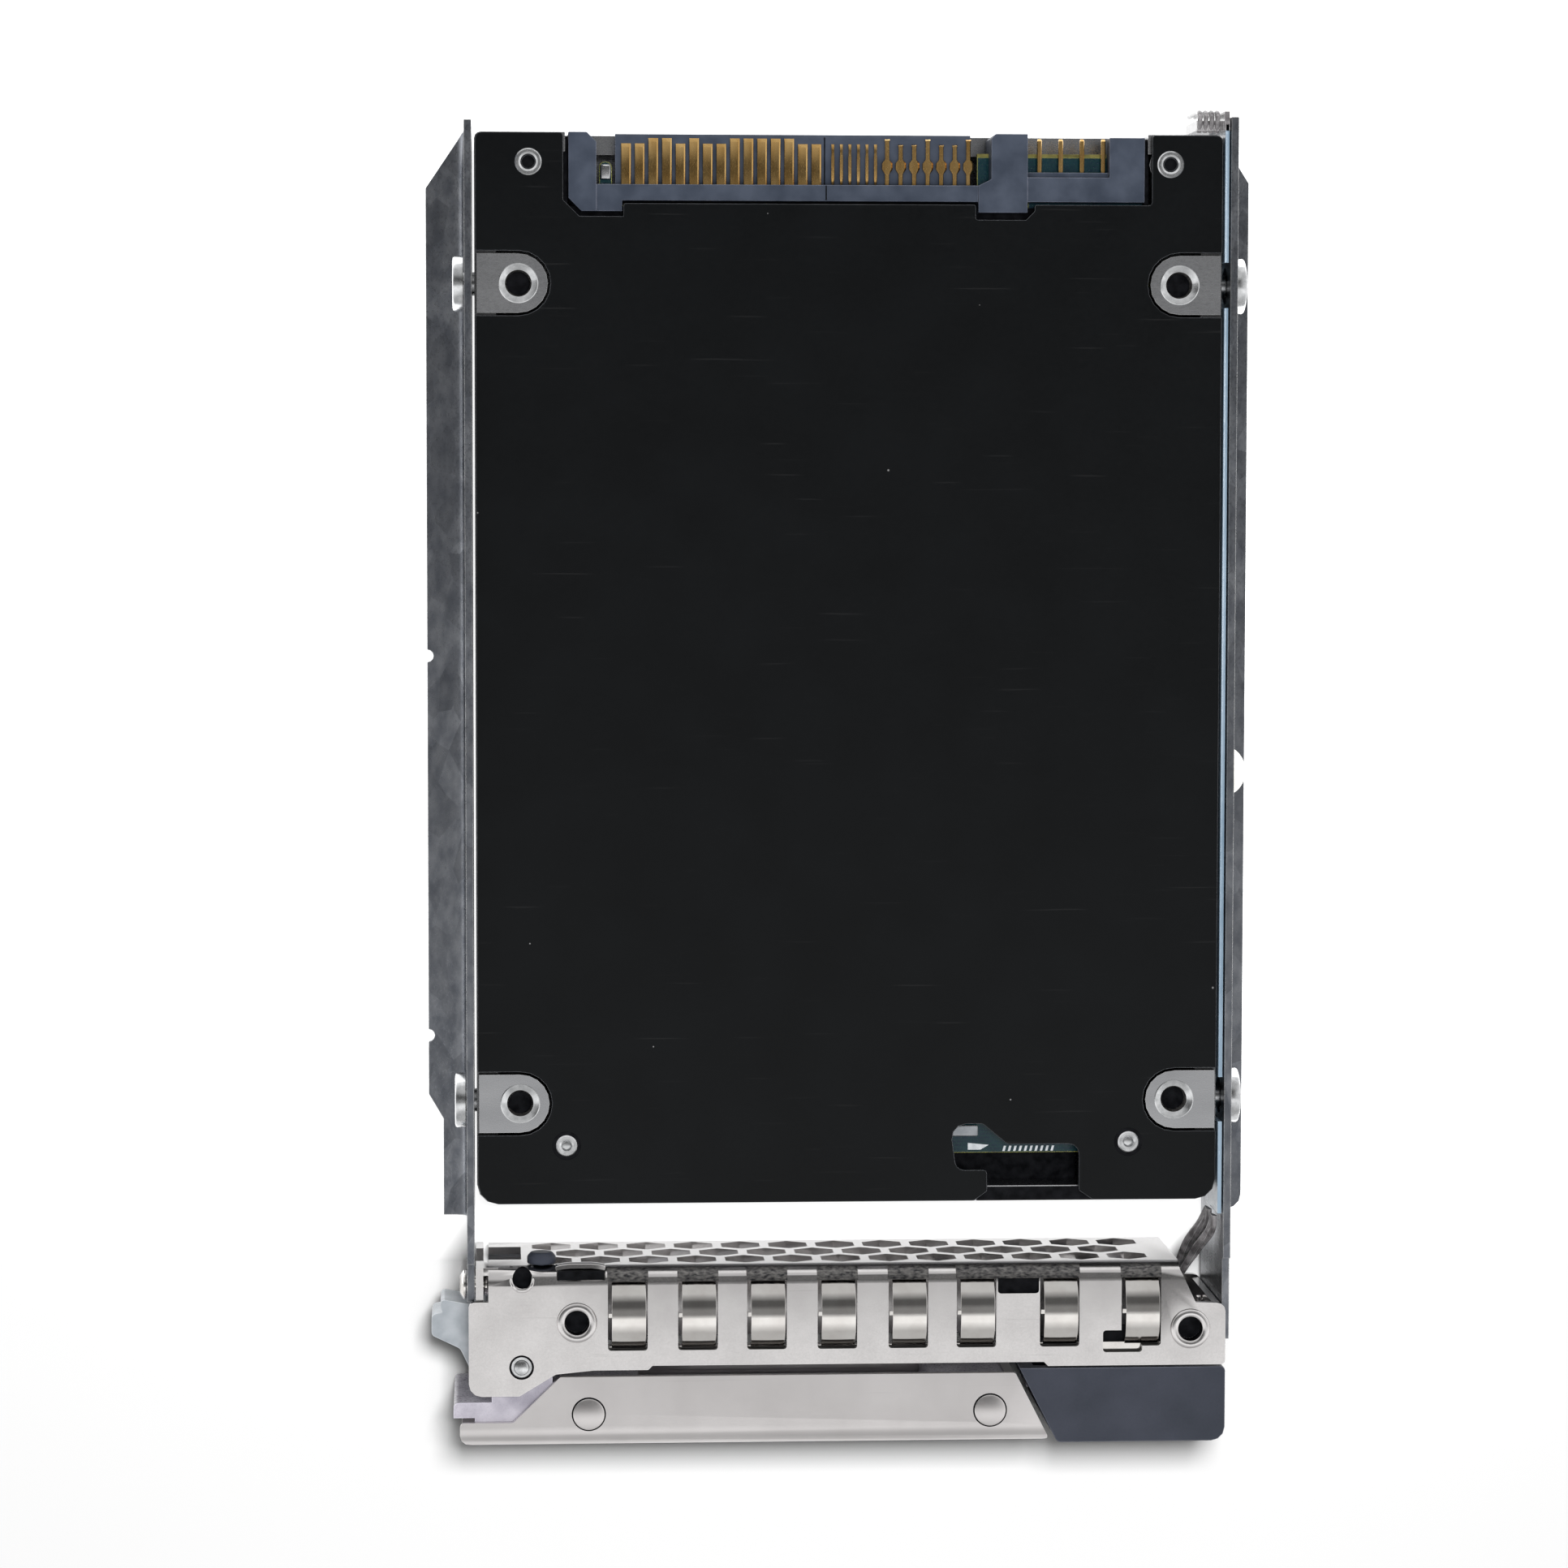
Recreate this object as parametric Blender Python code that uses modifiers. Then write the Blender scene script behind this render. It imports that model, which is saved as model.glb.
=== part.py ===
"""Solid state drive of 2.5 inch size in its hot-swap carrier.

Sizes below are in millimetres. Drive coordinates: x from the drive's centreline,
y from its rear (connector) edge and negative towards the front, z up from the
surface that the carrier lies on. The drive lies label side down.
"""
import math

import bmesh
import bpy
from mathutils import Euler, Matrix, Vector

MM = 0.001

# Drive case
DRIVE_WIDTH = 69.85
DRIVE_LENGTH = 100.2
DRIVE_HEIGHT = 15.0
DRIVE_LIFT = 0.5
CASE_WALL = 2.0
CASE_FLOOR = 1.6
CASE_REAR_WALL = 1.8
CASE_FRONT_WALL = 1.4
COVER_THICKNESS = 0.7
REAR_CORNER = 0.6
FRONT_CORNER = 1.9

# Standard mounting holes of a 2.5 inch drive
HOLE_INSET_X = 4.065
HOLE_REAR_INSET = 14.0
HOLE_FRONT_INSET = 9.6
SIDE_HOLE_BELOW_FACE = 3.0
THREAD_RADIUS = 1.25
THREAD_DEPTH = 2.6
PAD_RADIUS = 2.75
PAD_STEP = 0.1

# Cover screws
COVER_SCREW_INSET_X = 5.0
COVER_SCREW_REAR_INSET = 2.8
FRONT_SCREW_INSET_X = 8.4
COVER_SCREW_FRONT_INSET = 5.6
COVER_SCREW_HEAD_RADIUS = 1.25
COVER_SCREW_SHANK_RADIUS = 0.5

# Connector
CONNECTOR_LEFT = -26.2
CONNECTOR_RIGHT = 27.6
CONNECTOR_LOW = 9.3
CONNECTOR_HIGH = 14.9
TONGUE_LEFT = -21.8
TONGUE_RIGHT = 11.5
TONGUE_DEPTH = 4.8
TONGUE_THICKNESS = 1.1
KEY_LEFT = 13.2
KEY_RIGHT = 16.6
GUIDE_DEPTH = 7.3
CONTACT_PITCH = 1.27
NARROW_PITCH = 0.8
WIDE_CONTACTS_X = -11.9
NARROW_CONTACTS_X = 0.55
SIGNAL_CONTACTS_X = 7.45
WIDE_CONTACT_COUNT = 15
NARROW_CONTACT_COUNT = 6
SIGNAL_CONTACT_COUNT = 7
CONTACT_THICKNESS = 0.18
JUMPER_PITCH = 2.0
JUMPER_COUNT = 4
JUMPER_FIRST_X = 17.9

# Circuit board and what is on it
BOARD_THICKNESS = 1.2
BOARD_SIDE_INSET = 7.125
BOARD_FRONT_INSET = 4.2
CHIP_HEIGHT = 1.3
FLASH_WIDTH = 14.0
FLASH_LENGTH = 18.0
FLASH_OFFSET_X = 10.5
CONTROLLER_SIZE = 17.0
MEMORY_WIDTH = 7.5
MEMORY_LENGTH = 11.0
CAPACITOR_RADIUS = 2.9
CAPACITOR_LENGTH = 16.0
PAD_THICKNESS = 0.8

# Rails
SHEET = 0.7
RAIL_GAP_LEFT = 0.25
RAIL_GAP_RIGHT = 0.6
RAIL_HEIGHT = 16.2
FLANGE_REACH = 4.675
RAIL_BEND = 1.2
LEFT_RAIL_REAR = 1.0
RIGHT_RAIL_REAR = 1.6
FLANGE_FRONT_PAST = 3.2
FLANGE_SLANT = 5.3
FLANGE_STEP_INSET = 8.6
FLANGE_STEP = 1.4
FLANGE_NOTCHES = (49.2, 85.9)
BUMPER_Y = 60.0
BUMPER_Z = 8.0
BUMPER_RADIUS = 2.5
BUMPER_HEIGHT = 1.15

# Light pipe
PIPE_THICKNESS = 0.4
PIPE_LOW = 8.0
PIPE_HIGH = 15.7
PIPE_REAR = 1.0
PIPE_FRONT_PAST = 1.3
PIPE_HEAD_REAR = 2.2
LEAD_RADIUS = 0.5
LEAD_INSET_X = 2.025
LEAD_HIGH = 6.0
LEAD_LOW = 3.0

# Front frame
FRAME_OVERHANG = 0.825
FRAME_TOP = 16.6
FRAME_GAP = 5.8
FRAME_DEPTH = 9.75
EDGE_RECESS = 0.4
EDGE_RECESS_HALF = 18.9
FRAME_BEND = 1.0
HEX_PITCH_X = 4.56
HEX_ROW = 3.95
HEX_WIDTH = 3.7
HEX_ROWS = 3
FINGER_WIDTH = 3.3
WINDOW_WIDTH = 3.75
FINGER_LEFT_EDGES = (-22.7, -16.1, -9.6, -2.95, 3.75, 10.2, 18.1, 25.85)
WINDOW_SETBACK = 1.0
WINDOW_LENGTH = 6.9
FINGER_RISE = 0.6
FOOT_REACH = 1.75
SPRING_STRIP = 0.22
PEG_INSET_X = 6.025
PEG_Z = 14.2

# Lever and its pivot
PIVOT_INSET_X = 4.125
PIVOT_DEPTH = 9.4
PIN_RADIUS = 1.0
PIN_FIT = 0.06
BOSS_RADIUS = 2.9
FRONT_DEPTH = 17.05
LEVER_OVERHANG = 1.675
BEZEL_WIDTH_FRONT = 16.55
BEZEL_WIDTH_REAR = 19.95
LEVER_REAR_DEPTH = 10.35
LEVER_EAR_DEPTH = 14.65
LEVER_BEND = 1.0
HOOK_LOW = 5.0
HOOK_HIGH = 11.0
HOOK_ROOM = 0.6
HOOK_REACH = 8.5
RIVET_DEPTH = 13.9
RIVET_HEAD_RADIUS = 1.55
LEFT_RIVET_INSET = 12.1
RIGHT_RIVET_INSET = 5.8

# Bezel, button and catch
BEZEL_WALL = 1.4
BUTTON_INSET = 4.825
BUTTON_WIDTH = 7.8
BUTTON_LOW = 4.8
BUTTON_HIGH = 12.2
BUTTON_TRAVEL = 1.6
BUTTON_FLANGE = 0.6
CATCH_THICKNESS = 1.0
CATCH_GAP = 0.35

# Clearances
FIT = 0.1
GAP = 0.3

half_width = DRIVE_WIDTH / 2
case_top = DRIVE_LIFT + DRIVE_HEIGHT
cover_low = case_top - COVER_THICKNESS
case_rim = cover_low - FIT
board_high = cover_low - PAD_THICKNESS - CHIP_HEIGHT - 3 * FIT
board_low = board_high - BOARD_THICKNESS
tongue_high = board_high - FIT
tongue_low = tongue_high - TONGUE_THICKNESS
screw_z = case_top - SIDE_HOLE_BELOW_FACE
hole_x = half_width - HOLE_INSET_X
hole_rows = (-HOLE_REAR_INSET, -DRIVE_LENGTH + HOLE_FRONT_INSET)
board_half = half_width - BOARD_SIDE_INSET
board_front = -DRIVE_LENGTH + BOARD_FRONT_INSET
left_web = -half_width - RAIL_GAP_LEFT
right_web = half_width + RAIL_GAP_RIGHT
left_tab_x = left_web + FIT + SHEET / 2
right_tab_x = right_web - FIT - SHEET / 2
flange_half = half_width + FLANGE_REACH
flange_front = -DRIVE_LENGTH - FLANGE_FRONT_PAST
pipe_front = -DRIVE_LENGTH - PIPE_FRONT_PAST
frame_half = half_width + FRAME_OVERHANG
frame_low = FRAME_TOP - SHEET
frame_rear = -DRIVE_LENGTH - FRAME_GAP
frame_front = frame_rear - FRAME_DEPTH
window_rear = frame_rear - WINDOW_SETBACK
window_front = window_rear - WINDOW_LENGTH
pivot_x = -half_width + PIVOT_INSET_X
pivot_y = frame_rear - PIVOT_DEPTH
front_face = frame_rear - FRONT_DEPTH
lever_left = -half_width - LEVER_OVERHANG
lever_rear = frame_rear - LEVER_REAR_DEPTH
lever_ear = frame_rear - LEVER_EAR_DEPTH
lever_right_front = frame_half - BEZEL_WIDTH_FRONT
lever_right_rear = frame_half - BEZEL_WIDTH_REAR
slant = (lever_right_front - lever_right_rear) / (lever_rear - front_face)
rivet_y = frame_rear - RIVET_DEPTH
left_rivet_x = lever_left + LEFT_RIVET_INSET
right_rivet_x = lever_right_front - RIGHT_RIVET_INSET
lead_x = half_width - LEAD_INSET_X
button_right = half_width - BUTTON_INSET
button_left = button_right - BUTTON_WIDTH

for leftover in list(bpy.data.objects):
    bpy.data.objects.remove(leftover, do_unlink=True)

scene = bpy.context.scene
parts = bpy.data.collections.new("solid_state_drive")
cutters = bpy.data.collections.new("cutters")
scene.collection.children.link(parts)
scene.collection.children.link(cutters)

datum = bpy.data.objects.new("datum", None)
datum.location = (0.0, MM * (-front_face - PIPE_HEAD_REAR) / 2, 0.0)
parts.objects.link(datum)


def left(distance):
    """An x this far in from the drive's left side."""
    return -half_width + distance


def right(distance):
    """An x this far in from the drive's right side."""
    return half_width - distance


def ahead(distance):
    """A y this far in front of the frame's wall."""
    return frame_rear - distance


# ------------------------------------------------------------------ outlines
def rounded(corners, steps=3):
    """A closed outline; each corner is (u, v) or (u, v, radius)."""
    points = []
    count = len(corners)
    for index, corner in enumerate(corners):
        here = Vector(corner[:2])
        radius = corner[2] if len(corner) > 2 else 0.0
        back = Vector(corners[index - 1][:2]) - here
        ahead = Vector(corners[(index + 1) % count][:2]) - here
        if radius <= 0.0:
            points.append(tuple(here))
            continue
        angle = back.angle(ahead)
        reach = radius / math.tan(angle / 2)
        reach = min(reach, 0.49 * back.length, 0.49 * ahead.length)
        radius = reach * math.tan(angle / 2)
        middle = here + (back.normalized() + ahead.normalized()).normalized() * (radius / math.sin(angle / 2))
        first = here + back.normalized() * reach - middle
        last = here + ahead.normalized() * reach - middle
        turn = first.angle_signed(last)
        for step in range(steps + 1):
            share = Matrix.Rotation(-turn * step / steps, 2)
            points.append(tuple(middle + share @ first))
    return points


def circle(u, v, radius, steps=20, start=0.0):
    """Points round a circle."""
    turns = [start + math.tau * step / steps for step in range(steps)]
    return [(u + radius * math.cos(turn), v + radius * math.sin(turn)) for turn in turns]


def rectangle(u_low, u_high, v_low, v_high, radius=0.0):
    """A rectangle, with round corners if a radius is given."""
    return rounded([
        (u_low, v_low, radius),
        (u_high, v_low, radius),
        (u_high, v_high, radius),
        (u_low, v_high, radius),
    ])


def ribbon(path, thickness):
    """The outline of a bent strip that follows a path."""
    upper = []
    lower = []
    for index, point in enumerate(path):
        before = Vector(path[max(index - 1, 0)])
        after = Vector(path[min(index + 1, len(path) - 1)])
        along = (after - before).normalized()
        side = Vector((-along.y, along.x)) * thickness / 2
        upper.append(tuple(Vector(point) + side))
        lower.append(tuple(Vector(point) - side))
    return upper + lower[::-1]


# --------------------------------------------------------------------- solids
PLANES = {
    "XY": Matrix(((1, 0, 0), (0, 1, 0), (0, 0, 1))),
    "XZ": Matrix(((1, 0, 0), (0, 0, -1), (0, 1, 0))),
    "YZ": Matrix(((0, 0, 1), (1, 0, 0), (0, 1, 0))),
}
DEPTH_SIGN = {"XY": 1, "XZ": -1, "YZ": 1}
AXIS_TURN = {
    "X": Euler((0.0, math.pi / 2, 0.0)),
    "Y": Euler((-math.pi / 2, 0.0, 0.0)),
    "Z": Euler((0.0, 0.0, 0.0)),
}


def material(name, colour, roughness, metallic=0.0):
    """A plain Principled material."""
    made = bpy.data.materials.new(name)
    made.use_nodes = True
    shader = made.node_tree.nodes["Principled BSDF"]
    shader.inputs["Base Color"].default_value = (*colour, 1.0)
    shader.inputs["Roughness"].default_value = roughness
    shader.inputs["Metallic"].default_value = metallic
    return made


def to_mesh(source, name):
    """Turn a curve object into a mesh object with its caps joined on."""
    bpy.context.view_layer.update()
    graph = bpy.context.evaluated_depsgraph_get()
    mesh = bpy.data.meshes.new_from_object(source.evaluated_get(graph))
    mesh.name = name
    mesh.materials.clear()
    work = bmesh.new()
    work.from_mesh(mesh)
    bmesh.ops.remove_doubles(work, verts=work.verts, dist=1e-7)
    bmesh.ops.recalc_face_normals(work, faces=work.faces)
    work.to_mesh(mesh)
    work.free()
    solid = bpy.data.objects.new(name, mesh)
    solid.matrix_world = source.matrix_world.copy()
    curve = source.data
    bpy.data.objects.remove(source, do_unlink=True)
    bpy.data.curves.remove(curve)
    solid.name = name
    return solid


def file_away(solid, finish, cutter=False):
    """Put an object in its collection, under the datum, with its material."""
    solid.parent = datum
    if cutter:
        cutters.objects.link(solid)
        solid.hide_render = True
        solid.display_type = "WIRE"
    else:
        parts.objects.link(solid)
        if not solid.data.materials:
            solid.data.materials.append(finish)
    return solid


def plate(name, plane, outline, low, high, finish=None, holes=(), cutter=False):
    """A flat outline with holes, extruded from low to high across its plane."""
    curve = bpy.data.curves.new(name, "CURVE")
    curve.dimensions = "2D"
    curve.fill_mode = "BOTH"
    curve.extrude = MM * (high - low) / 2
    for ring in (outline, *holes):
        spline = curve.splines.new("POLY")
        spline.points.add(len(ring) - 1)
        spline.use_cyclic_u = True
        for point, (u, v) in zip(spline.points, ring):
            point.co = (MM * u, MM * v, 0.0, 1.0)
    source = bpy.data.objects.new(name, curve)
    scene.collection.objects.link(source)
    middle = DEPTH_SIGN[plane] * MM * (low + high) / 2
    turn = PLANES[plane]
    source.rotation_euler = turn.to_euler()
    source.location = turn @ Vector((0.0, 0.0, middle))
    return file_away(to_mesh(source, name), finish, cutter)


def box(name, x_range, y_range, z_range, finish=None, bevel=0.0, cutter=False):
    """A box between two corners, with an optional bevel."""
    lows = Vector([min(span) for span in (x_range, y_range, z_range)])
    highs = Vector([max(span) for span in (x_range, y_range, z_range)])
    size = (highs - lows) * MM
    mesh = bpy.data.meshes.new(name)
    work = bmesh.new()
    bmesh.ops.create_cube(work, size=1.0, matrix=Matrix.Diagonal((*size, 1.0)))
    work.to_mesh(mesh)
    work.free()
    solid = bpy.data.objects.new(name, mesh)
    solid.location = (lows + highs) * MM / 2
    if bevel:
        edge = solid.modifiers.new("Bevel", "BEVEL")
        edge.width = MM * bevel
        edge.segments = 1
    return file_away(solid, finish, cutter)


def turned(name, profile, axis, place, finish=None, steps=16, cutter=False):
    """A turned piece: profile points (radius, along) run top to bottom on the axis."""
    mesh = bpy.data.meshes.new(name)
    points = [(MM * radius, 0.0, MM * along) for radius, along in profile]
    closed = profile[0][0] > 0.0
    edges = [(index, index + 1) for index in range(len(points) - 1)]
    if closed:
        edges.append((len(points) - 1, 0))
    mesh.from_pydata(points, edges, [])
    solid = bpy.data.objects.new(name, mesh)
    solid.rotation_euler = AXIS_TURN[axis]
    solid.location = Vector(place) * MM
    screw = solid.modifiers.new("Screw", "SCREW")
    screw.steps = steps
    screw.render_steps = steps
    screw.use_merge_vertices = True
    screw.merge_threshold = 0.000001
    return file_away(solid, finish, cutter)


def wire(name, path, radius, finish, sides=2, ends=True):
    """A round wire along a path of points."""
    curve = bpy.data.curves.new(name, "CURVE")
    curve.dimensions = "3D"
    curve.bevel_depth = MM * radius
    curve.bevel_resolution = sides
    curve.use_fill_caps = ends
    spline = curve.splines.new("POLY")
    spline.points.add(len(path) - 1)
    for point, place in zip(spline.points, path):
        point.co = (*(MM * value for value in place), 1.0)
    source = bpy.data.objects.new(name, curve)
    scene.collection.objects.link(source)
    return file_away(to_mesh(source, name), finish)


def boolean(target, tool, operation):
    """Cut, join or keep what two solids share."""
    step = target.modifiers.new(tool.name, "BOOLEAN")
    step.object = tool
    step.operation = operation
    step.solver = "EXACT"


def cut(target, *tools):
    """Cut each tool out of the target."""
    for tool in tools:
        boolean(target, tool, "DIFFERENCE")


def join(target, *tools):
    """Join each tool on to the target."""
    for tool in tools:
        boolean(target, tool, "UNION")


def smooth_path(points, steps=4):
    """A Catmull-Rom curve through the points."""
    path = []
    places = [Vector(point) for point in points]
    places = [places[0] * 2 - places[1]] + places + [places[-1] * 2 - places[-2]]
    for index in range(1, len(places) - 2):
        before, start, end, after = places[index - 1:index + 3]
        for step in range(steps):
            t = step / steps
            first = 2 * start + (end - before) * t
            second = (2 * before - 5 * start + 4 * end - after) * t * t
            third = (3 * start - before - 3 * end + after) * t ** 3
            path.append((first + second + third) / 2)
    path.append(places[-2])
    return path


# ------------------------------------------------------------------ materials
bare_metal = material("bare_metal", (0.62, 0.62, 0.60), 0.35, 1.0)
black_cover = material("black_cover", (0.016, 0.018, 0.024), 0.32)
screw_steel = material("screw_steel", (0.20, 0.20, 0.21), 0.35, 1.0)
board_green = material("board_green", (0.03, 0.14, 0.05), 0.4)
chip_black = material("chip_black", (0.02, 0.02, 0.022), 0.5)
capacitor_sleeve = material("capacitor_sleeve", (0.03, 0.03, 0.06), 0.4)
pad_grey = material("pad_grey", (0.45, 0.5, 0.55), 0.8)
connector_plastic = material("connector_plastic", (0.065, 0.068, 0.09), 0.5)
gold = material("gold", (0.75, 0.5, 0.14), 0.3, 1.0)
galvanised = material("galvanised", (0.50, 0.51, 0.52), 0.45, 1.0)
nickel = material("nickel", (0.72, 0.69, 0.65), 0.25, 1.0)
stainless = material("stainless", (0.58, 0.56, 0.54), 0.32, 1.0)
spring_steel = material("spring_steel", (0.60, 0.60, 0.60), 0.2, 1.0)
bezel_plastic = material("bezel_plastic", (0.045, 0.048, 0.062), 0.55)
lever_plastic = material("lever_plastic", (0.17, 0.16, 0.21), 0.5)
button_plastic = material("button_plastic", (0.30, 0.05, 0.08), 0.45)
clear_blue = material("clear_blue", (0.45, 0.62, 0.78), 0.2)
clear_grey = material("clear_grey", (0.42, 0.39, 0.36), 0.15)
bumper_cream = material("bumper_cream", (0.78, 0.76, 0.68), 0.4)


# ----------------------------------------------------------------- drive case
def case_outline(inset):
    """The drive's plan outline, drawn in by an inset."""
    side = half_width - inset
    front = -DRIVE_LENGTH + inset
    return [
        (-side, -inset, REAR_CORNER),
        (-side, front, FRONT_CORNER),
        (side, front, FRONT_CORNER),
        (side, -inset, REAR_CORNER),
    ]


def pad_outline(side, y, extra):
    """A pad round a mounting hole, open to the drive's side edge."""
    edge = side * (half_width - 0.2 + extra)
    radius = PAD_RADIUS + extra
    turns = [math.pi / 2 + math.pi * step / 10 for step in range(11)]
    curved = [(side * (hole_x + radius * math.cos(turn)), y + radius * math.sin(turn)) for turn in turns]
    return [(edge, y + radius)] + curved + [(edge, y - radius)]


def screw_places():
    """The four cover screws' places."""
    rear = half_width - COVER_SCREW_INSET_X
    front = half_width - FRONT_SCREW_INSET_X
    front_y = -DRIVE_LENGTH + COVER_SCREW_FRONT_INSET
    return (
        (-rear, -COVER_SCREW_REAR_INSET),
        (rear, -COVER_SCREW_REAR_INSET),
        (-front, front_y),
        (front, front_y),
    )


def standoff_places():
    """Where the board is screwed to the case floor."""
    reach = board_half - 3.2
    return ((-reach, -42.0), (reach, -42.0))


def drive_housing():
    """A machined tray with pads, screw posts and board stand-offs."""
    tray = plate("drive_housing", "XY", rounded(case_outline(0.0)), DRIVE_LIFT, case_rim, bare_metal)
    inner_x = half_width - CASE_WALL
    cavity = rectangle(-inner_x, inner_x, -DRIVE_LENGTH + CASE_FRONT_WALL, -CASE_REAR_WALL, 1.0)
    hollow = plate("case_cavity", "XY", cavity, DRIVE_LIFT + CASE_FLOOR, case_top + 1, cutter=True)
    cut(tray, hollow)
    floor = DRIVE_LIFT + CASE_FLOOR / 2
    for number, (x, y) in enumerate(screw_places(), 1):
        post = plate(f"post_{number}", "XY", circle(x, y, 1.9, 12), floor, case_rim, cutter=True)
        join(tray, post)
    for number, (x, y) in enumerate(standoff_places(), 1):
        column = plate(f"standoff_{number}", "XY", circle(x, y, 2.0, 12), floor, board_low - FIT, cutter=True)
        join(tray, column)
    for number, (side, y) in enumerate([(s, y) for s in (-1, 1) for y in hole_rows], 1):
        pad_high = case_top - PAD_STEP
        boss = plate(f"boss_{number}", "XY", pad_outline(side, y, 0.0), floor, pad_high, cutter=True)
        join(tray, boss)
    opening = box(
        "connector_opening",
        (CONNECTOR_LEFT - GAP, CONNECTOR_RIGHT + GAP),
        (-CASE_REAR_WALL - 1, 1),
        (CONNECTOR_LOW - GAP, case_top + 1),
        cutter=True,
    )
    cut(tray, opening)
    for number, (side, y) in enumerate([(s, y) for s in (-1, 1) for y in hole_rows], 1):
        x = side * hole_x
        mouth = case_top - PAD_STEP
        drill = turned(
            f"bottom_hole_{number}",
            [(0, 1), (THREAD_RADIUS + 1.5, 1), (THREAD_RADIUS, -0.5), (THREAD_RADIUS, -THREAD_DEPTH),
             (0, -THREAD_DEPTH - 0.4)],
            "Z", (x, y, mouth), steps=16, cutter=True,
        )
        start, end = sorted((side * (half_width - THREAD_DEPTH), side * (half_width + 1)))
        ring = circle(y, screw_z, THREAD_RADIUS, 14)
        side_drill = plate(f"side_hole_{number}", "YZ", ring, start, end, cutter=True)
        cut(tray, drill, side_drill)
    for number, (x, y) in enumerate(screw_places(), 1):
        drill = plate(
            f"post_hole_{number}", "XY", circle(x, y, COVER_SCREW_SHANK_RADIUS + FIT, 12),
            case_rim - 5, case_rim + 1, cutter=True,
        )
        cut(tray, drill)
    for number, (x, y) in enumerate(standoff_places(), 1):
        drill = plate(
            f"standoff_hole_{number}", "XY", circle(x, y, 0.8, 12), board_low - 4, board_low + 1, cutter=True,
        )
        cut(tray, drill)
    return tray


def drive_cover():
    """The black sheet cover, cut out for the pads, the connector and the debug socket."""
    edge = half_width - FIT
    rear = -FIT
    front = -DRIVE_LENGTH + FIT
    radius = PAD_RADIUS + 0.25

    def pad_notch(side, y, downward):
        turns = [math.pi / 2 + math.pi * step / 10 for step in range(11)]
        points = [(side * (hole_x + radius * math.cos(t)), y + radius * math.sin(t)) for t in turns]
        points = [(side * edge, y + radius)] + points + [(side * edge, y - radius)]
        return points if downward else points[::-1]

    notch_left = CONNECTOR_LEFT - 0.5
    notch_right = CONNECTOR_RIGHT + 0.6
    notch = -(TONGUE_DEPTH + 1.8)
    wall_notch = -(GUIDE_DEPTH + 0.5)
    key_notch = -(GUIDE_DEPTH + 0.7)
    outline = [
        (-edge, rear, REAR_CORNER),
        (notch_left, rear, 0.3),
        (notch_left, wall_notch + 1.5),
        (notch_left + 1.5, wall_notch),
        (TONGUE_LEFT + 0.7, wall_notch),
        (TONGUE_LEFT + 0.7, notch, 0.2),
        (KEY_LEFT - 1.5, notch, 0.2),
        (KEY_LEFT - 1.5, key_notch, 0.2),
        (KEY_RIGHT - 0.2, key_notch),
        (KEY_RIGHT + 0.6, key_notch + 0.8),
        (KEY_RIGHT + 0.6, notch, 0.2),
        (notch_right, notch, 0.3),
        (notch_right, rear, 0.3),
        (edge, rear, REAR_CORNER),
        *pad_notch(1, hole_rows[0], True),
        *pad_notch(1, hole_rows[1], True),
        (edge, front, FRONT_CORNER),
        (23.2, front),
        (21.85, front + 0.9, 0.3),
        (21.85, front + 5.35, 1.0),
        (15.05, front + 5.35, 0.5),
        (12.7, front + 7.3, 0.6),
        (9.6, front + 7.3, 1.7),
        (10.2, front + 2.9, 0.9),
        (13.1, front + 2.9, 0.3),
        (13.15, front + 0.9, 0.3),
        (11.9, front),
        (-edge, front, FRONT_CORNER),
        *pad_notch(-1, hole_rows[1], False),
        *pad_notch(-1, hole_rows[0], False),
    ]
    holes = [circle(x, y, COVER_SCREW_SHANK_RADIUS + FIT, 16) for x, y in screw_places()]
    return plate("drive_cover", "XY", rounded(outline), cover_low, case_top, black_cover, holes)


def small_screw(name, place, axis, head_radius, head_height, shank_radius, length, flip=1):
    """A screw with a low round head and a six-sided socket; its head's underside is at its place."""
    rim = 0.25 * head_height
    profile = [
        (0.0, head_height),
        (head_radius - rim, head_height),
        (head_radius, head_height - rim),
        (head_radius, 0.0),
        (shank_radius, 0.0),
        (shank_radius, -length + 0.2),
        (shank_radius - 0.2, -length),
        (0.0, -length),
    ]
    screw = turned(name, profile, axis, place, screw_steel, steps=14)
    if flip < 0:
        screw.rotation_euler = (AXIS_TURN[axis].to_matrix() @ Matrix.Rotation(math.pi, 3, "X")).to_euler()
    wide = 0.45 * head_radius
    deep = 0.35 * head_height
    socket = turned(
        f"{name}_socket", [(0.0, head_height + 1), (wide, head_height + 1), (wide, deep), (0.0, deep)],
        axis, place, steps=6, cutter=True,
    )
    socket.rotation_euler = screw.rotation_euler
    cut(screw, socket)
    return screw


def cover_screws():
    """Four small screws that hold the cover."""
    for number, (x, y) in enumerate(screw_places(), 1):
        small_screw(
            f"cover_screw_{number}", (x, y, case_top + FIT), "Z",
            COVER_SCREW_HEAD_RADIUS, 0.35, COVER_SCREW_SHANK_RADIUS, COVER_THICKNESS + 4.0,
        )


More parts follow.
